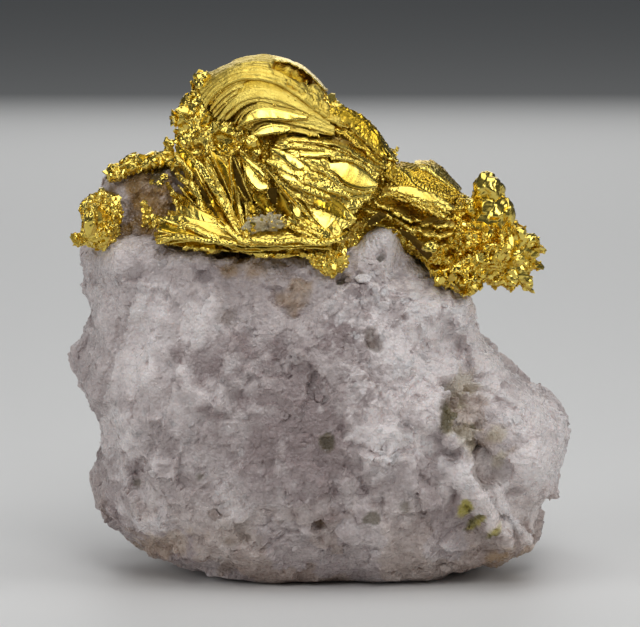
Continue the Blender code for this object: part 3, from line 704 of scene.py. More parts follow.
OCHRES = [
    (-3.4, 35.4, 3.4, 2.4, 0, 0.5),
    (17.4, 22.4, 2.8, 2.8, 30, 0.28),
    (19.6, 18.6, 2.6, 2.0, 0, 0.22),
    (22.7, 17.2, 1.8, 0.7, -30, 0.6),
    (21.5, 3.6, 4.0, 2.2, 10, 0.5),
    (-20.0, 4.0, 8.0, 2.4, -25, 0.4),
    (-10.0, 38.6, 4.0, 1.4, 0, 0.5),
    (-17.4, 46.0, 2.2, 2.6, 0, 0.6),
    (-20.8, 46.2, 4.8, 4.4, 0, 0.65),
    (17.0, 37.0, 2.0, 1.4, 0, 0.4),
]
GREENS = [
    (0.7, 18.6, 1.0, 1.2, 0, 0.75),
    (6.2, 9.4, 1.2, 1.0, 0, 0.7),
    (10.0, 10.8, 0.8, 0.9, 0, 0.5),
    (-14.6, 14.2, 0.6, 0.6, 0, 0.6),
    (-22.4, 12.6, 0.5, 0.6, 0, 0.6),
    (14.9, 21.2, 0.9, 2.1, 12, 0.75),
    (18.6, 20.5, 0.5, 0.5, 0, 0.85),
    (19.2, 17.8, 0.5, 0.5, 0, 0.85),
    (18.1, 8.6, 1.5, 0.35, -40, 0.7),
    (20.4, 6.8, 1.4, 0.35, -40, 0.7),
    (21.4, 9.4, 0.5, 0.3, 30, 0.7),
    (-19.8, 49.2, 1.0, 1.3, 0, 0.75),
    (2.4, 37.5, 0.5, 0.35, -20, 0.7),
    (6.8, 39.2, 0.45, 0.4, 10, 0.7),
]
YELLOWS = [
    (17.2, 25.0, 1.8, 1.9, 0, 0.22),
    (17.6, 19.2, 1.6, 2.0, 20, 0.22),
    (21.0, 19.2, 1.5, 1.2, 0, 0.22),
    (21.4, 16.2, 0.9, 1.8, 10, 0.28),
    (17.0, 10.3, 1.0, 1.3, 20, 1.0),
    (18.4, 8.5, 1.5, 0.7, -40, 0.9),
    (20.3, 7.0, 1.5, 0.6, -40, 0.9),
    (15.2, 21.0, 1.0, 2.2, 10, 0.3),
]
print(sum(len(rows) for rows in (CLOUDS, CLEAR_AND_SHADED, SMOKES_AND_SHADOWS, OCHRES, GREENS, YELLOWS)), "spots of colour")

# %% [markdown]
# Healed cracks are whiter than the quartz around them. They are the borders between scattered cells,
# where the nearest seed and the next are equally far, and each cell has a tone of its own.

# %% The numbers stored on the block
low = smooth_step(16.0, 0.0, rock[:, 2])
in_valley, on_slab = valley(rock)[1], slabs(rock)[1]
upper_right = spot(rock, 14.0, 30.0, 16.0, 14.0, -40)
bent = rock + 0.8 * np.stack([fractal(rock, 2.5, 3, salt=63 + 7 * k) for k in range(3)], axis=-1)
veins, patches = np.zeros(len(rock)), np.zeros(len(rock))
for size in (4.2, 2.0):
    near, after, _, owner = scattered_cells(bent, size, salt=64)
    veins = np.maximum(veins, smooth_step(0.12, 0.0, after - near))
    patches += 0.08 * (lattice_random(owner, 65) - 0.5)
# 0.12 times the height is painted shade: lighter where the surface stands out, darker in pits and hollows.
cloud_and_shade_values = 0.46 + 0.24 * fractal(rock, 9.0, 3, salt=61) + patches + 0.12 * height + spots(rock, CLOUDS)
# 0.20 times low is painted shade that darkens the block towards its foot. The clear spots are partly
# painted shade too.
cloud_and_shade_values = cloud_and_shade_values + 0.12 * on_slab + veins * (0.10 + 0.60 * upper_right) - 0.20 * low - spots(rock, CLEAR_AND_SHADED)
quartz_values = {
    "cloud_and_shade": cloud_and_shade_values,
    # Its valley share is painted shade on the hollow's wall.
    "smoke_and_shade": np.maximum(spots(rock, SMOKES_AND_SHADOWS), 0.42 * in_valley * (rock[:, 2] > 13)),
    "ochre": np.clip(spots(rock, OCHRES) + 0.22 * low * (fractal(rock, 5.0, 3, salt=88) > 0.0), 0, 0.9),
    "yellow": spots(rock, YELLOWS, 0.7),
    "green": spots(rock, GREENS, 0.4),
}
quartz_block = piece(
    "quartz_block", rock_moved, rock_faces, milky_quartz, values=quartz_values, smooth=False
)
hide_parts("quartz_matrix")

# %% [markdown]
# ## Where the growth's front lies
#
# The leaves stand on the front of the solid. So its front is read from its own points into a table: the
# foremost y in and around each half-millimetre cell of the front view, evened out over the neighbours.
# Empty cells beyond the outline take their neighbours' mean, so a line can be laid anywhere on it. The
# back gets a table of its own, from the same points mirrored in y.

# %% The front and the back as tables
CELL, TABLE_CORNER, TABLE_SHAPE = 0.5, np.array([-32.0, 30.0]), (130, 74)
EVENED, SPREAD = 2, 8
EMPTY = 99.0
grown, grown_normals, grown_faces = fine_copy("gold_leaf_mass", GROWTH_VOXEL, 4)


def around(table):
    """The sum of a table's cells and their eight neighbours."""
    return sum(np.roll(table, step, axis=(0, 1)) for step in itertools.product((-1, 0, 1), repeat=2))


def depth_table(points):
    """The least y in and around each cell, evened out twice, and then spread into the empty cells."""
    cells = np.round((points[:, [0, 2]] - TABLE_CORNER) / CELL).astype(int)
    table = np.full(TABLE_SHAPE, EMPTY)
    np.minimum.at(table, tuple(cells.T), points[:, 1])
    steps = itertools.product((-1, 0, 1), repeat=2)
    table = np.min([np.roll(table, step, axis=(0, 1)) for step in steps], axis=0)
    known = table < EMPTY
    table[~known] = 0.0
    for turn in range(SPREAD):
        share = around(known.astype(float))
        mean = around(table * known) / np.maximum(share, 1)
        table = np.where(known, mean if turn < EVENED else table, mean)
        known = known | (share > 0)
    return table


def read_table(table, x, z):
    """A table's value at points of the front view, read between its cells."""
    q = (np.stack([x, z], axis=-1) - TABLE_CORNER) / CELL
    low = np.clip(np.floor(q).astype(int), 0, np.array(table.shape) - 2)
    s, t = np.moveaxis(q - low, -1, 0)
    i, j = low[..., 0], low[..., 1]
    near = table[i, j] * (1 - s) * (1 - t) + table[i + 1, j] * s * (1 - t)
    return near + table[i, j + 1] * (1 - s) * t + table[i + 1, j + 1] * s * t


front_table = depth_table(grown[grown_normals[:, 1] < 0.2])
back_table = depth_table(grown[grown_normals[:, 1] > -0.2] * [1, -1, 1])


def front_of(x, z):
    """The y of the growth's front at points of the front view."""
    return read_table(front_table, x, z)


def back_of(x, z):
    """The y of its back at points of the same view."""
    return -read_table(back_table, x, z)


print("the growth has", len(grown), "points, its front at the middle is y = %.2f mm" % front_of(-4.0, 50.0))

# %% [markdown]
# ## A family of leaves
#
# The leaves of one fan grew side by side, so each is nearly the last one moved on. A family is drawn by a
# few key lines, the free edges of some of its leaves, and the others lie on smooth lines from key to key.
# A leaf runs from its free edge back to a root inside the growth. It bulges a little, its lip curls down,
# flat creases cross it, its edge is torn and its ends taper, and noise makes each leaf differ.

# %% The middle surface of a leaf
ALONG, ACROSS = 90, 8
SINGLE_ALONG, TORN_ALONG = 48, 24
LINE_STEPS = 200
LEAVES_SO_FAR, FREE_EDGES = [], []


def leaf_middles(edge, root, seed, bulge=0.05, curl=0.03, crease=0.06, tear=0.06, taper=0.4):
    """Middle surfaces, of shape (leaves, across, along, 3), from edge and root lines.

    A point is edge (1 - v) + root v, with v spaced as (1 - cos) / 2, plus the normal times
    bulge sin(pi v), soft waves and creases, less curl (1 - v)⁴ in height. The edge is pulled back by tear
    noise, and by taper times the eighth power of the distance from the middle, so both ends are pointed."""
    leaves, along = edge.shape[:2]
    v = (0.5 - 0.5 * np.cos(np.linspace(0, np.pi, ACROSS)))[None, :, None, None]
    u = np.linspace(0, 1, along)
    steps = np.linalg.norm(np.diff(edge, axis=1), axis=-1)
    length = np.concatenate([np.zeros((leaves, 1)), np.cumsum(steps, axis=1)], axis=1)
    own = (np.arange(leaves) * 7.31 + seed)[:, None] + np.zeros_like(length)
    along_edge = np.stack([length / 0.9, own, 0 * own], axis=-1).reshape(-1, 3)
    ragged = fractal(along_edge, 1.0, 4, seed).reshape(leaves, along)
    pulled = tear * (0.5 + 0.5 * ragged) + taper * np.abs(2 * u - 1)[None] ** 8
    edge = edge + (root - edge) * np.clip(pulled, 0, 0.97)[..., None]
    middle = edge[:, None] * (1 - v) + root[:, None] * v
    normal = normals_of(middle)
    up = np.sign((normal * np.array([0.0, -0.4, 1.0])).sum(-1, keepdims=True))
    where = np.stack(np.broadcast_arrays(length[:, None] / 2.8, 1.2 * v[..., 0], own[:, None]), -1)
    where = where.reshape(-1, 3)
    waves = 0.6 * soft_noise(where, 1.0, seed + 5) + chips(where, 0.45, 1.0, seed + 6)
    middle = middle + normal * up * bulge * np.sin(np.pi * v)
    middle = middle + normal * crease * waves.reshape(middle.shape[:3])[..., None]
    middle[..., 2] -= curl * (1 - v[..., 0]) ** 4
    across = np.linalg.norm(root - edge, axis=-1)[:, None] * v[..., 0]
    uv = np.stack(np.broadcast_arrays(length[:, None] + 13.0 * own[:, None], across), -1)
    return middle, uv


# %% [markdown]
# A leaf is creased finely where it was crushed, so its points also move by small chips. The finish reads
# how deep in a slit a point lies, because there gold mirrors gold, and how far it is crushed.

# %% Leaves as one piece


def leaf_piece(name, middle, uv, thickness, finish, crumple=0.3):
    """Closes the leaves and stores two numbers: depth, how far a point is from the free edge, and
    crumple, where the leaf is finely crushed. It also notes where leaves cover the growth."""
    points, faces = closed_leaves(middle, thickness)
    inner = uv[:, 1:-1, 1:-1].reshape(len(uv), -1, 2)
    uv_all = np.concatenate([uv.reshape(len(uv), -1, 2), inner], axis=1).reshape(-1, 2)
    crushed = np.clip(crumple + 0.55 * fractal(points, 2.6, 3, salt=51), 0, 1)
    crush = crushed * (chips(points, 0.6, 0.15, salt=52) + chips(points, 0.32, 0.08, salt=53))
    points = points + crush[:, None] * np.array([0.1, 0.7, 0.7])
    depth = smooth_step(0.6, 3.4, uv_all[:, 1])
    LEAVES_SO_FAR.append(points)
    values = {"depth": depth, "crumple": crushed}
    piece(name, points, faces, finish, uv=uv_all, values=values)


# %% [markdown]
# A family takes its key lines in the front view. The front's own depth gives the third number, less how
# far the leaves reach out of it.

# %% A family on the growth's front


def family(
    name, keys, shares, tucks, reach, seed, thickness=0.11, ends=(0.5, 0.5), uneven=0.012, wander=0.05,
    spans=None, along=ALONG, finish=leaf_gold, crumple=0.3, deep=0.0, **shape,
):
    """A family of leaves on the growth's front. `shares` places each leaf between the first key, 0, and
    the last, 1. A tuck is the way from an edge to its root, one for each key, a little different for each
    leaf, and `ends` is how much of it is left at both ends of the line. A leaf can cover only a span of
    its line, from one share of it to another."""
    chance = np.random.default_rng(seed)
    count = len(shares)
    share = np.clip(np.asarray(shares, float) + uneven * chance.uniform(-1, 1, count), 0, 1)
    corners = np.swapaxes(smooth_line(np.swapaxes(np.asarray(keys, float), 0, 1), share), 0, 1)
    u = np.linspace(0, 1, along)
    line = smooth_line(corners + chance.normal(0, wander, corners.shape), np.linspace(0, 1, LINE_STEPS))
    start, end = np.array(spans if spans is not None else [(0, 1)] * count).T[..., None] * (LINE_STEPS - 1)
    at = start + (end - start) * u
    low = np.minimum(at.astype(int), LINE_STEPS - 2)[..., None]
    rest = at[..., None] - low
    line = np.take_along_axis(line, low, 1) * (1 - rest) + np.take_along_axis(line, low + 1, 1) * rest
    x, z = line[..., 0], line[..., 1]
    forward = reach + uneven * 16 * chance.uniform(-1, 1, (count, 1))
    edge = np.stack([x, front_of(x, z) - forward, z], axis=-1)
    width = ends[0] + (1 - ends[0]) * smooth_step(0.0, 0.3, u)
    width = width * (ends[1] + (1 - ends[1]) * smooth_step(1.0, 0.7, u))
    way = smooth_line(tucks, share)[:, None] * width[None, :, None]
    way = way * chance.uniform(0.6, 1.4, (count, 1, 3))
    middle, uv = leaf_middles(edge, edge + way, seed, **shape)
    uv[..., 1] += deep
    FREE_EDGES.append(middle[:, 0].reshape(-1, 3))
    leaf_piece(name, middle, uv, thickness, finish, crumple)


# %% [markdown]
# The heart of the specimen is a nest of arches under the lip of the cap, like the growth rings of an
# onion cut open. Two of them are broad plates. Their right ends meet where the slope begins.

# %% Arches
ARCH_KEYS = [
    [(-13.5, 57.6), (-12.4, 59.1), (-10.3, 60.2), (-8.0, 60.5), (-5.9, 60.1), (-3.7, 59.0), (-1.5, 57.4),
     (0.9, 55.7)],
    [(-12.7, 55.6), (-11.5, 57.0), (-9.8, 58.3), (-7.5, 58.7), (-5.2, 58.3), (-3.3, 57.5), (-1.2, 56.5),
     (1.0, 55.2)],
    [(-10.0, 55.2), (-9.3, 56.3), (-8.2, 57.0), (-6.7, 57.2), (-4.6, 56.7), (-2.6, 56.3), (-0.8, 55.7),
     (1.3, 54.7)],
    [(-8.3, 54.1), (-7.8, 54.8), (-6.9, 55.2), (-5.8, 55.2), (-4.3, 55.1), (-2.8, 54.8), (-1.0, 54.4),
     (1.4, 53.8)],
    [(-8.2, 53.9), (-7.6, 53.9), (-6.9, 54.1), (-6.0, 54.3), (-5.0, 54.4), (-4.2, 54.6), (-3.0, 54.4),
     (-1.0, 53.9)],
]
ARCH_TUCKS = [(0, 1.3, 2.0), (0, 1.2, 2.0), (0, 1.2, 2.0), (0, 1.2, 2.0), (0, 1.1, 1.6)]
family(
    "gold_arches",
    ARCH_KEYS,
    [0.0, 0.05, 0.10, 0.16, 0.21, 0.26, 0.31, 0.37, 0.43, 0.50, 0.607, 0.655, 0.74, 0.95],
    ARCH_TUCKS,
    0.45,
    seed=101,
    finish=satin_gold,
    crumple=-0.35,
    tear=0.03,
    uneven=0.02,
    crease=0.03,
    bulge=0.02,
)

# %% [markdown]
# Below them long leaves sweep right and down. The gap above the fourth is wide, so that its whole upper
# face shows as one bright plate.

# %% The right fan and the lower fan
RIGHT_KEYS = [
    [(-5.1, 53.6), (-2.8, 53.5), (0.1, 53.2), (2.7, 52.5), (5.0, 51.1), (6.8, 49.7)],
    [(-6.0, 52.3), (-3.4, 51.5), (-0.4, 50.4), (2.4, 49.3), (4.5, 48.1), (6.3, 47.4)],
    [(-5.8, 50.3), (-3.8, 49.1), (-1.5, 47.8), (0.9, 46.9), (3.2, 46.2), (5.5, 45.9)],
    [(-5.1, 49.1), (-3.8, 47.5), (-2.5, 46.1), (-0.7, 44.8), (1.4, 44.3), (3.5, 44.6)],
]
RIGHT_TUCKS = [(0.6, 1.5, 0.7), (0.5, 1.5, 1.6), (0.6, 1.4, 2.0), (0.8, 1.3, 1.8)]
family(
    "gold_right_fan",
    RIGHT_KEYS,
    [0.0, 0.05, 0.11, 0.17, 0.333, 0.38, 0.44, 0.52, 0.60, 0.667, 0.72, 0.79, 0.86, 0.93, 1.0],
    RIGHT_TUCKS,
    0.5,
    seed=202,
    crumple=0.3,
    tear=0.10,
)
family(
    "gold_lower_fan",
    [
        [(-3.4, 49.1), (-2.0, 47.3), (-0.2, 45.6), (1.9, 44.0), (3.7, 43.6)],
        [(-3.0, 47.0), (-2.0, 45.0), (-1.0, 43.5), (0.2, 42.5), (1.5, 42.3)],
        [(-4.3, 43.7), (-2.8, 42.9), (-1.5, 42.4), (-0.2, 41.9), (1.4, 41.8)],
    ],
    [0.0, 0.14, 0.22, 0.42, 0.52, 0.66, 0.8, 0.9, 1.0],
    [(1.0, 1.5, 1.6), (1.4, 1.4, 1.2), (0.2, 2.0, 1.4)],
    0.5,
    seed=404,
    crumple=0.6,
    tear=0.08,
)

# %% [markdown]
# On the left thick blades stand on edge and run together in one foot, like the pages of a half-open
# book. Between them are deep slits. The fan turns on until its last blades lie flat along the quartz.

# %% The left fan and the skirt
LEFT_KEYS = [
    [(-9.3, 51.1), (-9.0, 48.8), (-8.7, 46.0), (-8.6, 43.6), (-8.6, 42.1)],
    [(-11.4, 51.6), (-10.6, 49.0), (-9.8, 46.0), (-9.2, 43.6), (-8.6, 42.0)],
    [(-13.4, 51.8), (-12.1, 48.7), (-10.8, 45.6), (-9.7, 43.5), (-8.7, 42.0)],
    [(-15.8, 51.3), (-14.2, 48.4), (-12.4, 45.1), (-10.5, 43.3), (-8.7, 41.9)],
    [(-16.9, 48.1), (-15.3, 46.3), (-13.2, 44.3), (-10.9, 43.0), (-8.8, 41.9)],
    [(-18.3, 45.0), (-16.2, 44.1), (-13.9, 43.3), (-11.3, 42.6), (-8.9, 41.8)],
    [(-19.9, 42.4), (-17.2, 42.4), (-14.4, 42.4), (-11.5, 42.0), (-8.9, 41.7)],
]
LEFT_TUCKS = [(-1.2, 2.2, 0.0), (-1.5, 2.0, 0.0), (-1.8, 2.4, -0.2), (-1.6, 2.0, 0.2), (-0.9, 1.8, 0.9),
              (-0.3, 1.8, 1.4), (0, 1.8, 1.5)]
family(
    "gold_left_fan",
    LEFT_KEYS,
    [
        0.0, 0.05, 0.11, 0.17, 0.22, 0.29, 0.333, 0.47, 0.50,
        0.58, 0.63, 0.68, 0.73, 0.78, 0.83, 0.88, 0.93, 0.97,
    ],
    LEFT_TUCKS,
    0.7,
    seed=303,
    thickness=0.24,
    ends=(0.4, 0.4),
    crumple=0.1,
    curl=0.0,
    taper=0.2,
    tear=0.06,
)
family(
    "gold_skirt",
    [
        [(-20.1, 42.0), (-17.5, 42.6), (-14.5, 42.6), (-11.4, 42.2), (-8.4, 41.9), (-4.0, 41.9),
         (1.2, 41.8)],
        [(-19.6, 41.2), (-17.5, 41.7), (-14.5, 42.1), (-11.6, 41.5), (-8.8, 40.8), (-3.8, 41.1),
         (1.1, 40.9)],
    ],
    [0.0, 0.25, 0.5, 0.75, 1.0],
    [(0.2, 2.6, 1.4), (0.2, 3.0, 0.9)],
    0.35,
    seed=505,
    thickness=0.2,
    ends=(0.3, 0.6),
    crumple=0.5,
    tear=0.12,
)

# %% [markdown]
# Between the long leaves are many short torn ones. They follow the same lines, each over a span of one.

# %% Torn leaves


def torn_leaves(name, keys, tucks, count, seed, shortest, longest, reach):
    """Short leaves on random spans of a family's lines."""
    chance = np.random.default_rng(seed)
    span = chance.uniform(shortest, longest, count)
    start = chance.random(count) * (1 - span)
    spans = np.stack([start, start + span], axis=-1)
    shares = np.sort(chance.random(count))
    look = {"ends": (0.3, 0.3), "crumple": 0.5, "tear": 0.3, "curl": 0.0}
    family(name, keys, shares, tucks, reach, seed, spans=spans, along=TORN_ALONG, **look)


torn_leaves("gold_torn_right", RIGHT_KEYS, RIGHT_TUCKS, 38, 252, 0.10, 0.35, 0.6)
torn_leaves("gold_torn_left", LEFT_KEYS, LEFT_TUCKS, 14, 353, 0.10, 0.35, 0.72)

# %% [markdown]
# Over these lie single leaves that are unlike their neighbours. Each is given by the two lines it lies
# between and how far both stand off the growth. A leaf can then be moved towards a plane.

# %% Single leaves
PLATE_SLOPES = ([0.0, 0.42], [0.14, 0.52])  # the least and the most of a plate's dy/dx and dy/dz


def single_leaves(name, rows, thickness, finish, crumple, seed, deep=0.0, flat=0.0, **shape):
    """One piece of several leaves. Each row is (line, other line, reach, other reach). The surface is
    line (1 - v) + other v, and `deep` is added to the depth that the tint reads. `flat` moves a leaf
    towards the plane that fits it best, leaned back by 23 to 28 degrees, and in front of the growth."""
    u = np.linspace(0, 1, SINGLE_ALONG)
    sides = [[], []]
    for line, other, far, other_far in rows:
        both = []
        for where, reach in ((line, far), (other, other_far)):
            x, z = smooth_line(where, u).T
            both.append(np.stack([x, front_of(x, z) - reach, z], axis=-1))
        if flat:
            points = np.concatenate(both)
            middle = points.mean(axis=0)
            slopes = np.linalg.lstsq((points - middle)[:, [0, 2]], points[:, 1] - middle[1], rcond=None)[0]
            slopes = np.clip(slopes, *PLATE_SLOPES)
            plane = middle[1] + (points - middle)[:, [0, 2]] @ slopes
            buried = np.max(plane - front_of(points[:, 0], points[:, 2])) + 0.25
            levels = (plane - np.clip(buried, 0, 0.9)).reshape(2, -1, 1)
            both = [side * [1, 1 - flat, 1] + flat * level * [0, 1, 0] for side, level in zip(both, levels)]
        sides[0].append(both[0])
        sides[1].append(both[1])
    middle, uv = leaf_middles(np.array(sides[0]), np.array(sides[1]), seed, curl=0.0, taper=0.0, **shape)
    uv[..., 1] += deep
    FREE_EDGES.append(np.concatenate([middle[:, 0].reshape(-1, 3), middle[:, -1].reshape(-1, 3)]))
    leaf_piece(name, middle, uv, thickness, finish, crumple)


# %% [markdown]
# First the broad plates that stayed smooth. They are made nearly flat, because only a flat mirror shows
# one even patch of the room.

# %% Broad plates
BROAD = [
    ([(-2.3, 51.7), (-0.5, 51.5), (1.0, 51.1), (2.8, 51.3), (4.3, 50.7), (5.8, 49.6), (6.7, 48.5)],
     [(-2.3, 51.7), (-0.8, 50.8), (1.0, 50.0), (1.9, 49.3), (2.6, 48.5), (3.7, 48.0), (5.3, 47.8),
      (6.7, 48.1)], 0.95, 0.95),
    ([(-2.7, 52.2), (-1.4, 52.4), (0.0, 52.4), (1.1, 52.2)],
     [(-2.6, 51.9), (-1.4, 51.7), (0.0, 51.7), (1.2, 51.8)], 0.8, 0.95),
    ([(-6.2, 52.7), (-4.9, 52.6), (-3.6, 52.1), (-2.6, 51.4), (-2.0, 50.7)],
     [(-6.1, 52.4), (-5.1, 51.8), (-4.0, 50.9), (-3.0, 50.3), (-2.1, 50.4)], 0.8, 1.0),
    ([(-6.7, 51.3), (-5.3, 51.3), (-4.1, 50.8), (-3.2, 50.0)],
     [(-6.5, 51.0), (-5.5, 50.5), (-4.4, 49.9), (-3.3, 49.4)], 0.75, 1.0),
    ([(-4.9, 50.1), (-3.7, 49.7), (-2.5, 48.8)],
     [(-4.9, 49.5), (-3.9, 48.8), (-2.7, 48.5)], 0.8, 1.0),
    ([(-1.5, 45.6), (0.0, 45.5), (1.6, 44.9), (3.1, 44.3)],
     [(-1.2, 45.1), (-0.5, 43.9), (0.8, 42.9), (2.5, 43.3)], 0.7, 1.0),
    ([(-3.4, 46.3), (-3.0, 46.3), (-2.5, 45.9)],
     [(-3.4, 45.1), (-3.0, 44.5), (-2.5, 44.5)], 0.6, 0.9),
    ([(-9.2, 50.6), (-8.6, 50.7), (-7.9, 50.0), (-7.2, 49.0), (-6.4, 48.5)],
     [(-9.1, 50.2), (-8.8, 49.2), (-8.2, 48.3), (-7.4, 47.8), (-6.5, 48.1)], 0.7, 1.3),
    ([(-9.8, 52.7), (-8.6, 51.6), (-7.5, 50.5), (-6.7, 49.5)],
     [(-9.7, 51.9), (-9.0, 50.9), (-8.0, 50.1), (-7.0, 49.3)], 1.0, 0.6),
    ([(-10.1, 55.1), (-9.2, 56.4), (-8.0, 57.2), (-6.2, 57.4), (-4.2, 57.0), (-1.6, 56.3)],
     [(-10.1, 55.1), (-8.6, 55.7), (-7.2, 56.0), (-5.6, 56.0), (-4.0, 55.9), (-1.6, 56.2)], 0.7, 0.9),
    ([(-8.4, 54.2), (-7.4, 55.1), (-6.0, 55.5), (-4.5, 55.4), (-3.7, 55.1)],
     [(-8.4, 54.2), (-7.0, 54.2), (-5.6, 54.4), (-4.6, 54.5), (-3.8, 54.8)], 0.8, 1.1),
]
single_leaves("gold_broad_plates", BROAD, 0.16, polished_gold, -0.4, 661, flat=0.9, crease=0.03, tear=0.02)

# %% [markdown]
# Thick ridges of crushed gold stand between them. They catch the light along their crests.

# %% Crushed ridges
RIDGES = [
    ([(-0.5, 50.5), (1.0, 49.9), (1.8, 49.2), (2.6, 48.4), (3.7, 47.9), (5.3, 47.8), (6.5, 47.9)],
     [(-0.5, 50.3), (0.8, 49.3), (1.7, 48.6), (2.5, 47.9), (3.8, 47.4), (5.4, 47.3), (6.4, 47.5)],
     1.05, 0.9),
    ([(-3.9, 49.1), (-2.4, 48.7), (-0.8, 48.1), (1.1, 47.2)],
     [(-3.9, 48.6), (-2.6, 48.0), (-0.9, 47.3), (1.0, 46.8)], 0.75, 1.1),
    ([(-2.3, 49.1), (-0.5, 49.0), (1.3, 48.7), (2.9, 47.9), (3.6, 47.0)],
     [(-2.0, 48.6), (-0.5, 48.1), (1.2, 47.5), (2.8, 47.0), (3.5, 46.7)], 0.8, 1.05),
    ([(-1.8, 50.1), (0.0, 49.7), (1.4, 49.0), (2.9, 48.0)],
     [(-1.7, 49.4), (-0.1, 48.8), (1.3, 48.3), (2.8, 47.8)], 0.7, 0.8),
    ([(-5.8, 49.9), (-4.6, 48.7), (-3.3, 47.2), (-2.0, 45.7), (-0.5, 44.0)],
     [(-5.8, 49.4), (-4.8, 48.0), (-3.4, 46.4), (-2.1, 45.2), (-0.7, 43.6)], 0.9, 0.7),
    ([(-4.0, 44.1), (-2.6, 43.6), (-1.1, 42.8)],
     [(-4.2, 43.7), (-2.8, 43.0), (-1.3, 42.5)], 0.7, 1.0),
    ([(-2.7, 44.5), (-1.2, 43.6), (0.2, 42.7)],
     [(-2.7, 44.0), (-1.4, 43.3), (-0.1, 42.4)], 0.7, 1.1),
    ([(-15.1, 51.4), (-13.8, 50.4), (-12.7, 48.8), (-11.6, 46.9), (-10.4, 44.8), (-9.4, 43.0)],
     [(-15.1, 50.5), (-14.4, 49.5), (-13.2, 47.7), (-12.1, 45.9), (-11.0, 44.2), (-9.8, 42.7)], 1.0, 1.25),
    ([(-13.9, 51.3), (-13.0, 50.3), (-12.1, 48.6), (-11.0, 46.6), (-10.3, 44.8)],
     [(-14.0, 50.5), (-13.4, 49.4), (-12.5, 47.6), (-11.4, 45.8), (-10.4, 44.5)], 1.2, 0.8),
    ([(-15.9, 49.1), (-14.9, 48.1), (-13.9, 46.4), (-12.8, 44.8), (-11.0, 43.2)],
     [(-15.8, 48.3), (-15.2, 47.1), (-14.4, 44.9), (-13.0, 44.3), (-11.3, 43.0)], 0.9, 1.1),
    ([(-17.8, 51.9), (-17.0, 51.4), (-16.0, 50.4), (-15.4, 49.6)],
     [(-17.6, 51.3), (-16.9, 50.7), (-16.1, 49.8), (-15.5, 49.1)], 0.9, 1.2),
    ([(-18.5, 48.3), (-17.5, 47.3), (-16.8, 45.0), (-15.7, 44.5)],
     [(-18.7, 48.0), (-17.9, 46.8), (-17.1, 44.8), (-15.8, 44.5)], 1.0, 1.1),
    ([(-17.4, 49.7), (-16.6, 49.2), (-15.9, 48.7)],
     [(-17.6, 49.4), (-16.9, 48.6), (-15.9, 48.3)], 0.9, 1.0),
    ([(-18.2, 45.3), (-16.8, 44.4), (-15.2, 44.2), (-13.5, 43.4), (-11.9, 42.7)],
     [(-18.1, 44.6), (-16.9, 44.1), (-15.4, 43.4), (-13.9, 42.7), (-12.2, 42.3)], 0.8, 1.2),
    ([(-19.8, 41.6), (-17.5, 42.8), (-15.1, 42.7), (-12.7, 42.5), (-10.0, 42.2)],
     [(-19.4, 41.6), (-17.5, 42.3), (-15.0, 42.2), (-12.7, 41.9), (-9.9, 41.6)], 0.9, 1.1),
    ([(-11.4, 44.2), (-10.5, 43.4), (-9.4, 42.7), (-8.4, 42.3)],
     [(-11.6, 43.6), (-10.8, 42.9), (-9.7, 42.1), (-8.6, 41.7)], 1.1, 1.3),
    ([(-8.8, 42.7), (-6.8, 42.3), (-4.4, 42.4), (-2.0, 42.6)],
     [(-8.8, 42.2), (-6.8, 41.9), (-4.4, 41.9), (-2.0, 42.1)], 0.8, 1.1),
    ([(-2.6, 42.7), (-0.5, 42.3), (1.6, 42.6), (3.0, 43.1)],
     [(-2.6, 42.1), (-0.5, 41.7), (1.6, 42.1), (3.1, 42.3)], 0.8, 1.1),
    ([(-8.6, 53.2), (-7.9, 53.3), (-7.3, 52.7)],
     [(-8.5, 52.4), (-7.9, 51.7), (-7.4, 51.9)], 0.8, 1.1),
    ([(-5.0, 52.8), (-3.5, 53.3), (-1.4, 53.0), (0.4, 52.6)],
     [(-4.9, 52.6), (-3.3, 52.8), (-1.4, 52.6), (0.4, 52.4)], 0.7, 0.9),
    ([(1.0, 51.7), (2.8, 51.6), (4.6, 51.1), (6.4, 49.6)],
     [(1.1, 51.4), (2.9, 51.3), (4.6, 50.5), (6.0, 49.3)], 0.7, 0.9),
]
single_leaves("gold_ridges", RIDGES, 0.30, crystal_gold, 0.8, 662, crease=0.08, tear=0.12, bulge=0.12)

# %% [markdown]
# A few leaves are seen from their thin edge, as bright hairlines. Their second line is the first one
# moved a little down and to the left. In the slits lie thin sheets coloured nearly black, as painted shade.

# %% Thin edges, and sheets of painted shade in the slits
THIN = [
    [(-3.0, 47.1), (-2.1, 46.7), (-1.2, 45.4), (-0.2, 44.1)],
    [(-13.4, 53.0), (-12.7, 51.1), (-11.6, 48.8), (-10.7, 46.7)],
    [(-10.8, 52.0), (-10.8, 50.3), (-10.7, 48.5), (-10.6, 46.6), (-10.7, 45.3)],
    [(-10.5, 51.7), (-10.0, 50.5), (-9.4, 49.3), (-8.9, 47.9), (-8.3, 46.7)],
    [(-10.0, 48.4), (-9.5, 47.5), (-8.9, 46.6)],
    [(-9.4, 52.5), (-8.9, 51.8), (-8.0, 51.0), (-7.5, 50.9)],
    [(-6.6, 50.4), (-5.7, 49.4), (-4.8, 48.1), (-3.7, 46.8), (-3.0, 46.1)],
    [(-12.9, 49.1), (-12.0, 47.4), (-11.2, 46.0), (-10.5, 44.4)],
]
EDGES = [(line, [(x - 0.28, z - 0.16) for x, z in line], 1.35, 0.75) for line in THIN]
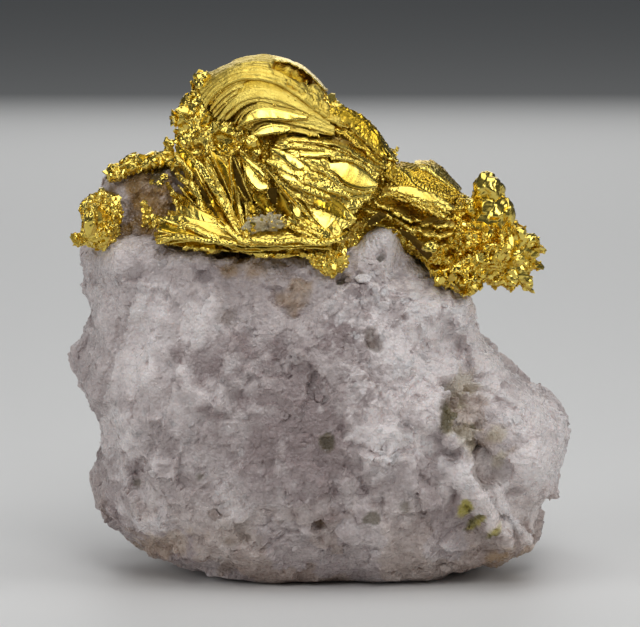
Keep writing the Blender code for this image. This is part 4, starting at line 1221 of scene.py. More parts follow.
SLITS = [
    ([(-10.7, 52.0), (-10.6, 50.3), (-10.2, 48.4), (-9.4, 46.3)],
     [(-10.4, 51.8), (-9.6, 50.2), (-9.1, 48.4), (-8.3, 46.6)], 0.95, 0.85),
    ([(-15.3, 49.0), (-14.6, 47.8), (-13.5, 45.3), (-11.7, 43.6)],
     [(-15.0, 49.1), (-14.0, 47.7), (-12.9, 45.6), (-11.4, 43.7)], 0.85, 0.85),
    ([(-12.7, 49.3), (-12.1, 48.1), (-11.4, 46.7), (-10.7, 45.5)],
     [(-12.4, 49.2), (-11.7, 48.1), (-11.0, 47.1), (-10.6, 46.0)], 0.95, 0.85),
    ([(-6.4, 48.2), (-6.5, 47.4), (-5.9, 46.2)],
     [(-5.3, 48.2), (-5.3, 47.3), (-5.4, 46.2)], 0.8, 0.8),
    ([(7.0, 45.1), (6.0, 44.6), (5.4, 43.8)],
     [(7.9, 44.6), (6.8, 43.8), (5.6, 43.3)], 0.7, 0.7),
    ([(9.2, 43.3), (10.6, 42.7), (12.2, 41.5), (13.2, 40.3)],
     [(9.6, 42.4), (10.6, 41.6), (11.8, 40.4), (12.6, 39.6)], 0.55, 0.45),
]
single_leaves("gold_thin_edges", EDGES, 0.12, leaf_gold, 0.0, 663, crease=0.02, tear=0.02)
single_leaves("gold_slit_shade_sheets", SLITS, 0.10, painted_shade_gold, 0.3, 665, crease=0.05, tear=0.05)

# %% [markdown]
# Last come leaves deep between the others. They mirror gold and not the room, so they look orange, and
# the number that deepens the tint is raised for them.

# %% Orange leaves
ORANGE = [
    ([(-14.7, 49.3), (-13.8, 48.8), (-12.8, 47.2), (-11.9, 45.4), (-11.0, 43.9), (-10.6, 43.1)],
     [(-14.7, 48.8), (-14.2, 47.7), (-13.5, 46.1), (-12.5, 44.8), (-11.4, 43.8), (-10.7, 43.0)],
     0.25, 0.85),
    ([(-13.2, 52.4), (-12.2, 51.5), (-11.1, 50.3), (-10.6, 48.7)],
     [(-13.3, 51.7), (-12.7, 50.6), (-11.7, 49.2), (-10.9, 47.8)], 0.5, 0.8),
    ([(-17.6, 52.7), (-16.2, 52.4), (-15.2, 51.5), (-14.6, 50.4)],
     [(-17.5, 51.8), (-16.8, 51.1), (-15.9, 50.1), (-15.0, 49.9)], 0.5, 0.8),
    ([(-19.3, 44.0), (-17.5, 44.1), (-15.7, 43.7), (-14.1, 42.8)],
     [(-19.1, 43.2), (-17.5, 42.9), (-15.9, 42.8), (-14.3, 42.5)], 0.5, 0.9),
    ([(-1.1, 47.0), (0.6, 46.8), (1.9, 45.9), (3.5, 44.5)],
     [(-0.9, 46.3), (0.6, 45.4), (2.0, 44.5), (3.4, 44.2)], 0.6, 0.85),
    ([(1.1, 47.0), (2.3, 46.5), (3.2, 45.5), (3.8, 44.8)],
     [(1.2, 46.4), (2.0, 45.5), (3.0, 44.7), (3.7, 44.4)], 0.8, 0.5),
    ([(-8.1, 47.8), (-6.9, 46.6), (-5.6, 45.3), (-4.3, 44.0)],
     [(-8.3, 47.0), (-7.4, 45.8), (-6.2, 44.7), (-4.8, 43.6)], 0.1, 0.4),
    ([(-9.3, 47.8), (-8.4, 46.6), (-7.7, 45.3)],
     [(-10.0, 47.1), (-9.1, 45.9), (-8.3, 45.0)], 0.0, 0.3),
    ([(-5.5, 48.3), (-4.5, 47.0), (-3.7, 45.5), (-3.1, 44.1)],
     [(-6.2, 47.8), (-5.3, 46.1), (-4.4, 44.8), (-3.7, 43.7)], 0.6, 0.0),
    ([(-7.2, 47.8), (-6.5, 46.7), (-5.5, 45.5)],
     [(-7.6, 47.1), (-6.8, 45.9), (-5.9, 44.9)], 0.0, 0.3),
]
single_leaves("gold_orange_leaves", ORANGE, 0.14, leaf_gold, 0.15, 664, deep=2.6, crease=0.04, tear=0.05)

# %% [markdown]
# The cap is one smooth sheet that folds over the crown and ends in a curved lip above the arches. It is
# thicker than the leaves, and satin. Growth steps run along it like arcs, two short slits open on its
# right, and the strip between them is crushed. It is a grid between the crest and the lip that swells
# along its normal.

# %% The cap
CREST = [(-15.6, 60.2), (-13.8, 60.9), (-12.0, 61.7), (-9.9, 62.7), (-7.6, 63.1), (-5.3, 62.9),
         (-3.2, 62.1), (-1.3, 60.8), (0.7, 58.6), (2.3, 56.4)]
LIP = [(-13.9, 57.2), (-13.3, 58.2), (-12.2, 59.3), (-10.2, 60.3), (-8.0, 60.5), (-5.9, 60.1),
       (-3.7, 59.0), (-1.5, 57.4), (0.9, 55.7), (2.4, 54.9)]
SHEET_ALONG, CAP_ACROSS, VANE_ACROSS = 170, 36, 41
u, v = np.linspace(0, 1, SHEET_ALONG), np.linspace(0, 1, CAP_ACROSS)[:, None, None]
crest, lip = smooth_line(CREST, u), smooth_line(LIP, u)
top = np.stack([crest[:, 0], np.full(len(u), 0.9), crest[:, 1]], axis=-1)
rim = np.stack([lip[:, 0], front_of(lip[:, 0], lip[:, 1]) - 0.75, lip[:, 1]], axis=-1)
cap_sheet = rim * (1 - v) + top * v
cap_sheet[..., 1] -= (0.9 * 4 * v * (1 - v))[..., 0]
cap_sheet[..., 2] += (0.5 * 4 * v * (1 - v))[..., 0]
flat = cap_sheet.reshape(-1, 3)


def groove(points, start, end, half):
    """1 on the line of the front view from start to end, falling to 0 at half a width from it."""
    a, b = np.array(start), np.array(end) - np.array(start)
    away = points[:, [0, 2]] - a
    t = np.clip((away @ b) / (b @ b), 0, 1)
    distance = np.linalg.norm(away - t[:, None] * b, axis=1) / half
    return smooth_step(1.0, 0.4, distance + 0.35 * soft_noise(points, 0.8, salt=17))


slit = groove(flat, (-5.6, 61.8), (-1.6, 60.2), 0.75)
slit = np.maximum(slit, groove(flat, (0.6, 58.2), (2.2, 56.6), 0.95))
crushed_here = groove(flat, (-4.4, 60.4), (3.0, 55.4), 1.7)
arcs = (8.0 * (1 - v) + 0.4 * soft_noise(flat, 3.0, salt=10).reshape(cap_sheet.shape[:2])[..., None]) % 1.0
arcs = (0.20 * arcs * smooth_step(1.0, 0.85, arcs) * smooth_step(0.75, 0.5, v)).reshape(-1)
swell = 0.10 * fractal(flat, 3.4, 2, salt=8) + 0.07 * fractal(flat, 0.8, 3, salt=9) + arcs - 0.95 * slit
crushed = chips(flat, 1.1, 0.30, salt=18) + chips(flat, 0.5, 0.12, salt=20) + 0.1
swell = swell + crushed_here * (1 - slit) * crushed
cap_sheet = cap_sheet + normals_of(cap_sheet) * swell.reshape(cap_sheet.shape[:2])[..., None]
# Raising the depth number in the slits paints a deeper gold there, as painted reflection and shade.
uv = np.stack(np.broadcast_arrays(u[None] * 34, 1.35 + 3.0 * slit.reshape(cap_sheet.shape[:2])), -1)
leaf_piece("gold_cap", cap_sheet[None], uv[None], 0.4, satin_gold, -0.5)

# %% [markdown]
# Two lips run along the crown's right side, and the outer edge of the slope is one rolled leaf. Inside
# it lie a few crushed ones. Each is one leaf, or one family, like those above.

# %% Lips on the right slope


def strip(name, front_edge, back_edge, seed, thickness, finish, crumple=0.2, **shape):
    """One leaf between two lines that are given in space."""
    u = np.linspace(0, 1, ALONG)
    front, back = smooth_line(front_edge, u), smooth_line(back_edge, u)
    middle, uv = leaf_middles(front[None], back[None], seed, **shape)
    leaf_piece(name, middle, uv, thickness, finish, crumple)


strip(
    "gold_crown_lip",
    [(-6.4, -2.2, 62.7), (-4.8, -2.6, 62.6), (-2.8, -2.8, 61.9), (-1.2, -3.0, 60.7), (0.2, -3.2, 59.2)],
    [(-6.0, 0.6, 63.1), (-4.2, 0.6, 62.7), (-2.2, 0.6, 61.8), (-0.6, 0.6, 60.4), (0.8, 0.4, 58.9)],
    611,
    0.16,
    leaf_gold,
    0.6,
    tear=0.3,
)
strip(
    "gold_slope_lip",
    [(-5.0, -5.0, 60.5), (-3.6, -5.3, 59.7), (-2.0, -5.7, 58.4), (-0.4, -6.1, 57.1), (1.6, -6.6, 55.6),
     (3.6, -6.4, 54.4)],
    [(-4.8, -3.4, 61.2), (-3.0, -3.6, 60.4), (-1.3, -3.9, 59.2), (0.3, -4.3, 57.9), (2.3, -4.8, 56.4),
     (4.2, -4.6, 55.2)],
    612,
    0.14,
    leaf_gold,
    1.0,
    tear=0.4,
)
strip(
    "gold_rolled_edge",
    [(2.6, -3.2, 56.0), (4.6, -3.2, 55.1), (6.2, -3.0, 53.5), (7.8, -2.7, 51.5), (8.8, -2.4, 50.3)],
    [(2.6, -0.6, 56.7), (5.0, -0.8, 55.7), (6.9, -0.9, 53.9), (8.5, -1.0, 51.6), (9.4, -1.2, 50.3)],
    613,
    0.3,
    crystal_gold,
    1.0,
    tear=0.3,
    curl=0.0,
)
# Their raised depth paints a deeper gold tint, a painted reflection of the gold around them.
family(
    "gold_inner_edge",
    [
        [(0.6, 56.6), (2.4, 55.4), (4.4, 54.2), (6.0, 52.6), (7.6, 50.9)],
        [(0.4, 55.2), (2.0, 54.2), (3.8, 53.0), (5.6, 51.4), (7.4, 50.0)],
    ],
    [0.0, 0.3, 0.55, 0.8, 1.0],
    [(0.8, 1.8, 1.3), (0.8, 1.8, 1.3)],
    0.5,
    seed=614,
    thickness=0.2,
    crumple=0.9,
    deep=2.2,
    tear=0.3,
)

# %% [markdown]
# From the dome a leaf slopes off to the right like a feather: a rib with fine ridges slanting off it to
# both sides. The ridges are a saw-tooth of the distance along the rib plus the distance from it.

# %% The feather
RIB = [(8.9, -4.9, 50.1), (10.3, -5.0, 49.2), (11.2, -5.5, 48.1), (12.6, -5.8, 47.3), (14.4, -5.8, 46.8),
       (16.0, -5.4, 46.3)]
UPPER_SIDE = [(9.6, -2.6, 50.5), (11.7, -2.4, 50.2), (12.9, -2.6, 50.2), (14.0, -2.8, 49.5),
              (15.8, -3.2, 47.9), (16.8, -3.6, 46.8)]
LOWER_SIDE = [(7.2, -5.3, 49.3), (8.7, -5.5, 48.1), (9.9, -6.0, 47.2), (11.5, -6.6, 46.3),
              (13.7, -6.8, 45.8), (15.4, -6.6, 45.4)]
u, across = np.linspace(0, 1, SHEET_ALONG), np.linspace(-1, 1, VANE_ACROSS)
off_rib = np.abs(across)
rib, upper, lower = (smooth_line(line, u) for line in (RIB, UPPER_SIDE, LOWER_SIDE))
side = across[:, None, None]
vane = rib * (1 - np.abs(side)) + np.where(side > 0, upper, lower) * np.abs(side)
shift = 0.5 * soft_noise(vane.reshape(-1, 3), 1.3, salt=71).reshape(vane.shape[:2])
ridge = (u[None] * 21 - 3.2 * off_rib[:, None] + 1.6 * shift) % 1.0
height = 0.20 * ridge * smooth_step(0.06, 0.25, off_rib)[:, None] * smooth_step(1.0, 0.85, off_rib)[:, None]
height = height + 0.14 * np.exp(-((across / 0.07) ** 2))[:, None]
vane = vane[::-1] + (normals_of(vane[::-1]) * height[::-1, :, None])
# The depth number is raised in the troughs between ridges, as painted shade and reflection of gold in gold.
uv = np.stack(np.broadcast_arrays(u[None] * 9, 1.0 + 2.2 * (1 - ridge[::-1])), -1)
leaf_piece("gold_feather", vane[None], uv[None], 0.3, crystal_gold, 0.75)
strip(
    "gold_feather_border",
    [(11.2, -3.6, 49.6), (12.5, -3.9, 49.5), (13.6, -4.0, 48.9), (14.9, -4.1, 47.8), (16.0, -4.3, 46.7)],
    [(11.4, -0.6, 50.2), (12.9, -0.8, 50.4), (14.3, -1.0, 49.8), (15.9, -1.2, 48.2), (17.0, -1.6, 47.0)],
    714,
    0.5,
    crystal_gold,
    0.5,
    curl=0.0,
)

# %% [markdown]
# Under the feather is a stack of thin blades, then a long dark slit, and a curved lip below it.

# %% Stacked blades
STACK_KEYS = [
    [(8.0, 47.2), (10.4, 46.9), (12.4, 46.4), (14.2, 45.8), (16.0, 45.0)],
    [(7.1, 46.7), (9.3, 46.3), (11.0, 45.8), (12.6, 45.1), (14.4, 44.2)],
]
STACK_TUCKS = [(0.2, 2.2, 0.9), (0.2, 2.4, 0.8)]
family(
    "gold_stacked_blades",
    STACK_KEYS,
    [0.0, 0.22, 0.4, 0.62, 0.8, 1.0],
    STACK_TUCKS,
    0.55,
    seed=808,
    crumple=0.7,
    tear=0.4,
    uneven=0.03,
)
torn_leaves("gold_torn_stack", STACK_KEYS, STACK_TUCKS, 34, 454, 0.08, 0.25, 0.8)
family(
    "gold_under_lip",
    [
        [(6.0, 45.9), (8.4, 45.0), (10.0, 44.2), (11.8, 43.3), (13.6, 42.9), (15.8, 43.2)],
        [(5.0, 44.6), (7.6, 44.2), (9.6, 43.3), (11.6, 42.3), (13.6, 41.9), (15.6, 42.2)],
        [(5.4, 43.2), (7.6, 43.0), (9.6, 42.3), (11.4, 41.4), (13.2, 41.0), (15.0, 41.2)],
    ],
    [0.0, 0.45, 1.0],
    [(0.2, 3.2, 0.9), (0.2, 3.2, 0.8), (0.2, 3.2, 0.7)],
    0.6,
    seed=818,
    thickness=0.28,
    crumple=0.9,
    tear=0.45,
    uneven=0.03,
)

# %% [markdown]
# The growth has shingled leaves on its back too. They lie on the back table like tiles on a roof: the
# free edge of each is a little lower than the last, and its root goes up and in under the one above.

# %% The back
TILES, TOP_TILE, TILE_STEP = 9, 57.9, 1.65
chance = np.random.default_rng(909)
k = np.arange(TILES)[:, None]
left, right = -15.6 + chance.uniform(-0.8, 1.2, k.shape), 0.4 + 1.1 * k + chance.uniform(-1.2, 0.4, k.shape)
t = np.linspace(0, 1, ALONG)[None]
x = left + (right - left) * t
wavy = soft_noise(np.stack([x, 3.0 * k + 0 * x, 0 * x], -1).reshape(-1, 3), 2.5, 91).reshape(x.shape)
z = TOP_TILE - TILE_STEP * k + chance.uniform(-0.5, 0.5, k.shape) - 0.4 * k * t - 1.6 * t**2
z = z + 1.0 * np.sin(np.pi * t) + 0.2 * wavy
edge = np.stack([x, back_of(x, z) + 0.35, z], axis=-1)[:, ::-1]
middle, uv = leaf_middles(edge, edge + np.array([0.2, -1.7, 2.3]), 919, bulge=0.2, tear=0.12)
leaf_piece("gold_back_leaves", middle, uv, 0.22, leaf_gold, 0.5)

# %% [markdown]
# ## The crust between the leaves
#
# Where no leaf stands, the gold is a crust of small crystals, and on the right a sponge. It has the
# solid's own form, and lies deeper wherever leaves cover it, so that the slits between them are dark.

# %% Where leaves cover the growth
covering = np.zeros(front_table.shape)
for points in LEAVES_SO_FAR[:-1]:
    cells = np.round((points[points[:, 1] < 1.0][:, [0, 2]] - TABLE_CORNER) / CELL).astype(int)
    covering[tuple(cells.T)] = 1.0
covering = around(around(covering)) / 81


def covered(points):
    """From 0 to 1, how far leaves cover points of the growth's front."""
    cells = np.round((points[:, [0, 2]] - TABLE_CORNER) / CELL).astype(int)
    here = covering[tuple(np.clip(cells, 0, np.array(covering.shape) - 1).T)]
    front = smooth_step(2.5, 0.5, points[:, 1] - front_of(points[:, 0], points[:, 2]))
    return smooth_step(0.35, 0.9, here) * front


hidden = covered(grown)
print("leaves cover %.0f percent of the growth's points" % (100 * hidden.mean()))

# %% [markdown]
# The growth and the tuft are both made this way. The tuft has a hollow in the middle of its front.

# %% The crust and the tuft


def crystal_height(points):
    """Broken crystals: chips of two sizes, a bump over each scattered seed, and the holes of a sponge."""
    near = scattered_cells(points, 0.8, salt=19)[0]
    x, z = points[:, 0], points[:, 2]
    spongy = smooth_step(10.5, 13.0, x) * smooth_step(45.5, 43.5, z)
    holes = smooth_step(0.42, 0.16, scattered_cells(points, 1.5, salt=37)[0])
    height = chips(points, 1.3, 0.30, salt=47) + chips(points, 0.6, 0.13, salt=48) + 0.05 * (0.55 - near)
    return height - 1.05 * holes * (0.15 + 0.85 * spongy)


def crusted(name, node, points, normals, faces, back_off, warm, smooth_below):
    """A solid of gold as a crystalline crust, which is deeper in colour in its hollows, as painted
    reflection and shade, and where warm, and softer to the left of smooth_below."""
    height = crystal_height(points)
    moved = points + normals * (height - 0.12)[:, None]
    moved[:, 1] += back_off
    depth = np.clip(0.35 - 1.3 * height + warm, 0, 1)
    values = {"depth": depth, "crumple": np.where(moved[:, 0] < smooth_below, 0.4, 1.0)}
    soft = moved[faces[:, 0], 0] < smooth_below
    made = piece(name, moved, faces, crystal_gold, values=values, smooth=soft)
    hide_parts(node)
    return moved


x, y, z = grown.T
warm = 0.35 * smooth_step(10.5, 13.5, x) * smooth_step(46.0, 44.0, z) - 0.4 * smooth_step(-11.0, -13.5, x)
back_off = 1.1 * hidden * np.where(z > 43.6, smooth_step(-14.4, -12.6, x), 1.0)
growth = crusted("gold_growth", "gold_leaf_mass", grown, grown_normals, grown_faces, back_off, warm, -10.5)
tuft_points, tuft_normals, tuft_faces = fine_copy("gold_left_tuft", TUFT_VOXEL, 3)
hollow = spot(tuft_points, -25.8, 45.6, 1.1, 2.2, 8, 0.3, soft=0.7)
tuft_points[:, 1] += 1.8 * hollow
tuft = crusted("gold_tuft", "gold_left_tuft", tuft_points, tuft_normals, tuft_faces, 0.0, -0.2, -40.0)

# %% [markdown]
# In the lap between the fans a lump of quartz is left in the gold. It is a soft polyhedron: the radius in
# a direction is the sum of the powers of its cosines with a handful of face normals, to the power of
# minus one over the same power. That gives flat places that run into each other.

# %% Quartz in the lap


def soft_polyhedron(centre, radii, seed, faces=13, power=9.0, rows=40, columns=64):
    """Points of a closed, rounded crystal: r = (sum of max(0, d · n)^power)^(-1/power), in directions d
    on a grid of latitude and longitude, for scattered face normals n."""
    chance = np.random.default_rng(seed)
    k = np.arange(faces) + 0.5
    tall, turn = 1 - 2 * k / faces, np.pi * (1 + 5**0.5) * k
    flat = np.sqrt(1 - tall**2)
    normals = np.stack([flat * np.cos(turn), flat * np.sin(turn), tall], axis=-1)
    normals = normals + chance.normal(0, 0.18, (faces, 3))
    normals /= np.linalg.norm(normals, axis=-1, keepdims=True) * chance.uniform(0.92, 1.12, (faces, 1))
    tilt = np.linspace(0, np.pi, rows)[1:-1, None]
    round_ = np.linspace(0, 2 * np.pi, columns, endpoint=False)[None]
    way = [np.sin(tilt) * np.cos(round_), np.sin(tilt) * np.sin(round_), np.cos(tilt)]
    way = np.stack(np.broadcast_arrays(*way), -1)
    way = np.concatenate([way.reshape(-1, 3), [[0, 0, 1.0], [0, 0, -1.0]]])
    radius = (np.maximum(0, way @ normals.T) ** power).sum(-1) ** (-1 / power)
    bumps = 0.09 * fractal(way, 0.6, 4, seed) + chips(way, 0.55, 0.12, salt=seed)
    return np.asarray(centre) + way * (radius + bumps)[:, None] * np.asarray(radii)


def globe_faces(rows, columns):
    """Triangles of a closed globe whose last two points are its poles, wound outwards."""
    squares = grid_faces(rows - 2, columns, wrapped=True)[:, ::-1]
    ring = np.arange(columns)
    after = np.roll(ring, -1)
    last = (rows - 3) * columns
    top = np.stack([np.full(columns, (rows - 2) * columns), ring, after], -1)
    bottom = np.stack([np.full(columns, (rows - 2) * columns + 1), last + after, last + ring], -1)
    return np.concatenate([squares[:, [0, 1, 2]], squares[:, [0, 2, 3]], top, bottom])


LAP_CENTRE, LAP_ROWS, LAP_COLUMNS = (-6.2, -11.0, 43.7), 44, 64
lap = soft_polyhedron(LAP_CENTRE, (2.2, 1.3, 1.25), 21, rows=LAP_ROWS, columns=LAP_COLUMNS)
lap = lap + 0.6 * (lap - LAP_CENTRE) * chips(lap, 0.9, 1.0, salt=22)[:, None]
shade = smooth_step(-0.4, 0.5, fractal(lap, 0.9, 3, salt=23))
values = {
    "cloud_and_shade": 0.9 + 0.4 * shade,
    "smoke_and_shade": 0.10 * (1 - shade),
    "ochre": 0.50 - 0.2 * shade,
    "yellow": 0.45 + 0.15 * shade,
    "green": np.zeros(len(lap)),
}
piece("quartz_lap", lap, globe_faces(LAP_ROWS, LAP_COLUMNS), milky_quartz, values=values)

# %% [markdown]
# ## Rounded nuggets
#
# The crystals at the top right are smooth and rounded, with lobes, and there are a few single ones in the
# notch, at the foot of the cap and on the tuft. They are soft polyhedra too.

# %% Nuggets


def globes(name, places, finish, rows=30, columns=48):
    """Several soft polyhedra as one piece. Each place is (centre, radii, seed)."""
    points = [soft_polyhedron(*where, rows=rows, columns=columns) for where in places]
    faces = copies(globe_faces(rows, columns), len(places), len(points[0]))
    piece(name, np.concatenate(points), faces, finish)


globes(
    "gold_nuggets",
    [
        ((20.1, -3.6, 47.2), (1.75, 1.8, 1.85), 1),
        ((20.5, -3.8, 44.5), (2.4, 2.6, 2.05), 2),
        ((13.0, -11.6, 41.1), (1.0, 1.0, 0.65), 3),
        ((17.9, -5.6, 45.2), (0.7, 1.1, 1.1), 4),
        ((22.4, -4.4, 44.2), (0.75, 1.2, 1.7), 5),
        ((-8.4, -8.4, 53.2), (0.8, 0.7, 0.9), 7),
        ((-27.5, -12.3, 44.2), (0.75, 0.9, 1.5), 8),
    ],
    polished_gold,
)

# %% [markdown]
# ## Twigs
#
# From the right end short thick twigs radiate. A twig is a profile carried along a path: a circle whose
# radius falls towards the tip and swells at each crystal strung on it.

# %% The spray of twigs
TWIG_ROWS, TWIG_COLUMNS = 26, 14


def twig_points(start, end, start_radius, end_radius, seed, rows=TWIG_ROWS, columns=TWIG_COLUMNS):
    """Points of a closed twig: a circle of radius r(t) carried from start to end, where r falls in a line
    from one radius to the other, swells by knots of noise, and closes as a round tip."""
    start, end = np.asarray(start, float), np.asarray(end, float)
    way = (end - start) / np.linalg.norm(end - start)
    side = np.cross(way, [0.3, 1.0, 0.2])
    side /= np.linalg.norm(side)
    other = np.cross(way, side)
    t = np.linspace(0, 1, rows)[1:-1, None]
    angle = np.linspace(0, 2 * np.pi, columns, endpoint=False)[None]
    radius = (start_radius + (end_radius - start_radius) * t) * (1 - t**10) ** 0.5
    round_ = np.cos(angle)[..., None] * side + np.sin(angle)[..., None] * other
    path = start + (end - start) * t[..., None]
    still = np.zeros(len(t))
    places = [np.stack([2.2 * t[:, 0], still + seed, still + k], axis=-1) for k in range(3)]
    bend = 0.35 * np.stack([soft_noise(where, 1.0, k) for k, where in enumerate(places)], axis=-1)
    points = path + bend[:, None] * t[..., None] + radius[..., None] * round_
    flat = points.reshape(-1, 3)
    lumps = 0.30 * (0.6 - scattered_cells(flat, 0.95, salt=seed)[0]) + chips(flat, 0.7, 0.15, salt=seed)
    points = points + lumps.reshape(points.shape[:2])[..., None] * round_
    tip = end + bend[-1]
    return np.concatenate([points.reshape(-1, 3), [start, tip]])


HUB = (21.6, -3.8, 40.6)
TIPS = [
    ((26.0, -5.2, 41.3), 1.5, 0.75),
    ((26.6, -4.4, 39.7), 1.4, 0.7),
    ((25.6, -3.4, 37.3), 1.4, 0.65),
    ((25.5, -4.2, 35.6), 1.5, 0.55),
    ((23.2, -5.2, 35.6), 1.5, 0.7),
    ((21.2, -6.0, 36.4), 1.5, 0.75),
    ((24.6, -6.4, 42.4), 1.3, 0.7),
    ((24.8, -1.0, 42.0), 1.4, 0.65),
    ((25.4, 0.4, 39.2), 1.5, 0.6),
    ((22.8, 2.0, 37.2), 1.6, 0.7),
    ((24.2, -7.2, 38.4), 1.4, 0.8),
]
points = [twig_points(HUB, tip, r0, r1, 40 + k) for k, (tip, r0, r1) in enumerate(TIPS)]
faces = copies(globe_faces(TWIG_ROWS, TWIG_COLUMNS)[:, ::-1], len(TIPS), len(points[0]))
piece("gold_spray", np.concatenate(points), faces, crystal_gold, smooth=False)

# %% [markdown]
# ## Small crystals
#
# Thousands of small crystals stud the crust, the spongy mass, the rims and the knot that hangs in the
# notch. Each is an icosahedron of 20 faces, stretched and turned at random: with flat shading that is
# enough to glitter, and a thousand of them cost little. All sit on points of the surface itself.

# %% Crystals
golden = (1 + 5**0.5) / 2
ICO_POINTS = np.array([
    (-1, golden, 0), (1, golden, 0), (-1, -golden, 0), (1, -golden, 0),
    (0, -1, golden), (0, 1, golden), (0, -1, -golden), (0, 1, -golden),
    (golden, 0, -1), (golden, 0, 1), (-golden, 0, -1), (-golden, 0, 1),
]) / np.sqrt(1 + golden**2)
ICO_FACES = np.array([
    (0, 11, 5), (0, 5, 1), (0, 1, 7), (0, 7, 10), (0, 10, 11),
    (1, 5, 9), (5, 11, 4), (11, 10, 2), (10, 7, 6), (7, 1, 8),
    (3, 9, 4), (3, 4, 2), (3, 2, 6), (3, 6, 8), (3, 8, 9),
    (4, 9, 5), (2, 4, 11), (6, 2, 10), (8, 6, 7), (9, 8, 1),
])


def crystal_points(centres, sizes, chance):
    """The icosahedra's points: each is stretched along three axes, turned by a random rotation (the
    matrix of a random unit quaternion) and set on its centre."""
    count = len(centres)
    q = chance.normal(size=(count, 4))
    w, x, y, z = (q / np.linalg.norm(q, axis=1, keepdims=True)).T
    turn = np.stack([
        1 - 2 * (y * y + z * z), 2 * (x * y - z * w), 2 * (x * z + y * w),
        2 * (x * y + z * w), 1 - 2 * (x * x + z * z), 2 * (y * z - x * w),
        2 * (x * z - y * w), 2 * (y * z + x * w), 1 - 2 * (x * x + y * y),
    ], -1).reshape(count, 3, 3)
    stretched_ = ICO_POINTS[None] * chance.uniform(0.55, 1.3, (count, 1, 3)) * sizes[:, None, None]
    return centres[:, None] + np.einsum("nij,nkj->nki", turn, stretched_)


def crystals(name, surface, normals, holds, count, smallest, largest, seed, finish):
    """Crystals on points of a surface picked at random, in proportion to `holds`."""
    chance = np.random.default_rng(seed)
    pick = chance.choice(len(surface), count, p=holds / holds.sum())
    sizes = smallest + (largest - smallest) * chance.random(count) ** 2
    centres = surface[pick] + normals[pick] * (0.3 * sizes)[:, None]
    points = crystal_points(centres, sizes, chance).reshape(-1, 3)
    faces = copies(ICO_FACES, count, len(ICO_POINTS))
    piece(name, points, faces, finish, smooth=False)


# %% [markdown]
# Among the crystals lie flat six-sided plates, in gold on the crust and in quartz on the block.

# %% Small plates


def plates(name, surface, normals, holds, count, smallest, largest, tilt, seed, finish, values=None):
    """Small six-sided plates with bevelled rims, scattered like crystals and lying nearly flat: each is
    turned so that its own axis is the surface's normal plus `tilt` times a random vector."""
    chance = np.random.default_rng(seed)
    pick = chance.choice(len(surface), count, p=holds / holds.sum())
    sizes = smallest + (largest - smallest) * chance.random(count) ** 2
    axis = normals[pick] + tilt * chance.normal(0, 1, (count, 3))
    axis /= np.linalg.norm(axis, axis=1, keepdims=True)
    side = np.cross(axis, chance.normal(0, 1, (count, 3)))
    side /= np.linalg.norm(side, axis=1, keepdims=True)
    other = np.cross(axis, side)
    angle = np.arange(6) * np.pi / 3
    reach = sizes[:, None] * chance.uniform(0.75, 1.2, (count, 6))
    out = np.cos(angle)[None, :, None] * side[:, None] + 0.7 * np.sin(angle)[None, :, None] * other[:, None]
    rim = surface[pick][:, None] + out * reach[..., None]
    rise = (0.16 * sizes)[:, None, None] * axis[:, None]
    inner = surface[pick][:, None] + 0.8 * out * reach[..., None]
    points = np.concatenate([inner + rise, rim, inner - rise], axis=1)
    size = points.shape[1]
    ring = np.arange(6)
    after = np.roll(ring, -1)
    belts = [np.stack([low + ring, low + after, low + 6 + after, low + 6 + ring], -1) for low in (0, 6)]
    belts = np.concatenate(belts)[:, ::-1]
    fan = np.array([(0, k, k + 1) for k in range(1, 5)])
    lids = np.concatenate([fan, 12 + fan[:, [0, 2, 1]]])
    one = np.concatenate([belts[:, [0, 1, 2]], belts[:, [0, 2, 3]], lids])
    values = {key: np.repeat(value[pick], size) for key, value in (values or {}).items()}
    faces = copies(one, count, size)
    piece(name, points.reshape(-1, 3), faces, finish, values=values, smooth=False)


# %% [markdown]
# How thickly the crystals lie differs from place to place. The growth's sponge on the right, the knot in
# the notch and the rim at the upper left have many, and places under leaves hardly any.

# %% Crystals on the growth
x, y, z = growth.T
flank = (x < -12.8) & (z > 49.5)
rim_crust = (x < -15.5) & (z > 48)
sponge = (x > 12.2) & (z < 43.2)
knot = (x > -1.6) & (x < 3.6) & (z < 41.2)
slope = (z > 50) & (z - 58.5 + 1.06 * (x - 0.2) > -2.6) & (x > -5)
open_crust = (1 - 0.95 * hidden) * (0.3 + 0.7 * (y < 1.5))
lumpy = (0.05 * flank + 0.4 * rim_crust + 1.2 * sponge + 1.5 * knot + 0.5 * slope + 0.1) * open_crust
flaky = (0.2 * flank + 0.6 * rim_crust + 0.5 * sponge + 0.4 * knot + 0.8 * slope + 0.2) * open_crust
crystals("gold_crystals", growth, grown_normals, lumpy, 2000, 0.07, 0.26, 31, crystal_gold)
plates("gold_plates", growth, grown_normals, flaky, 1800, 0.15, 0.55, 0.3, 33, crystal_gold)

# %% [markdown]
# Patches of gold flakes cling to the knob. Chips of quartz break up the block's own surface, and larger
# facets flash on its upper right.

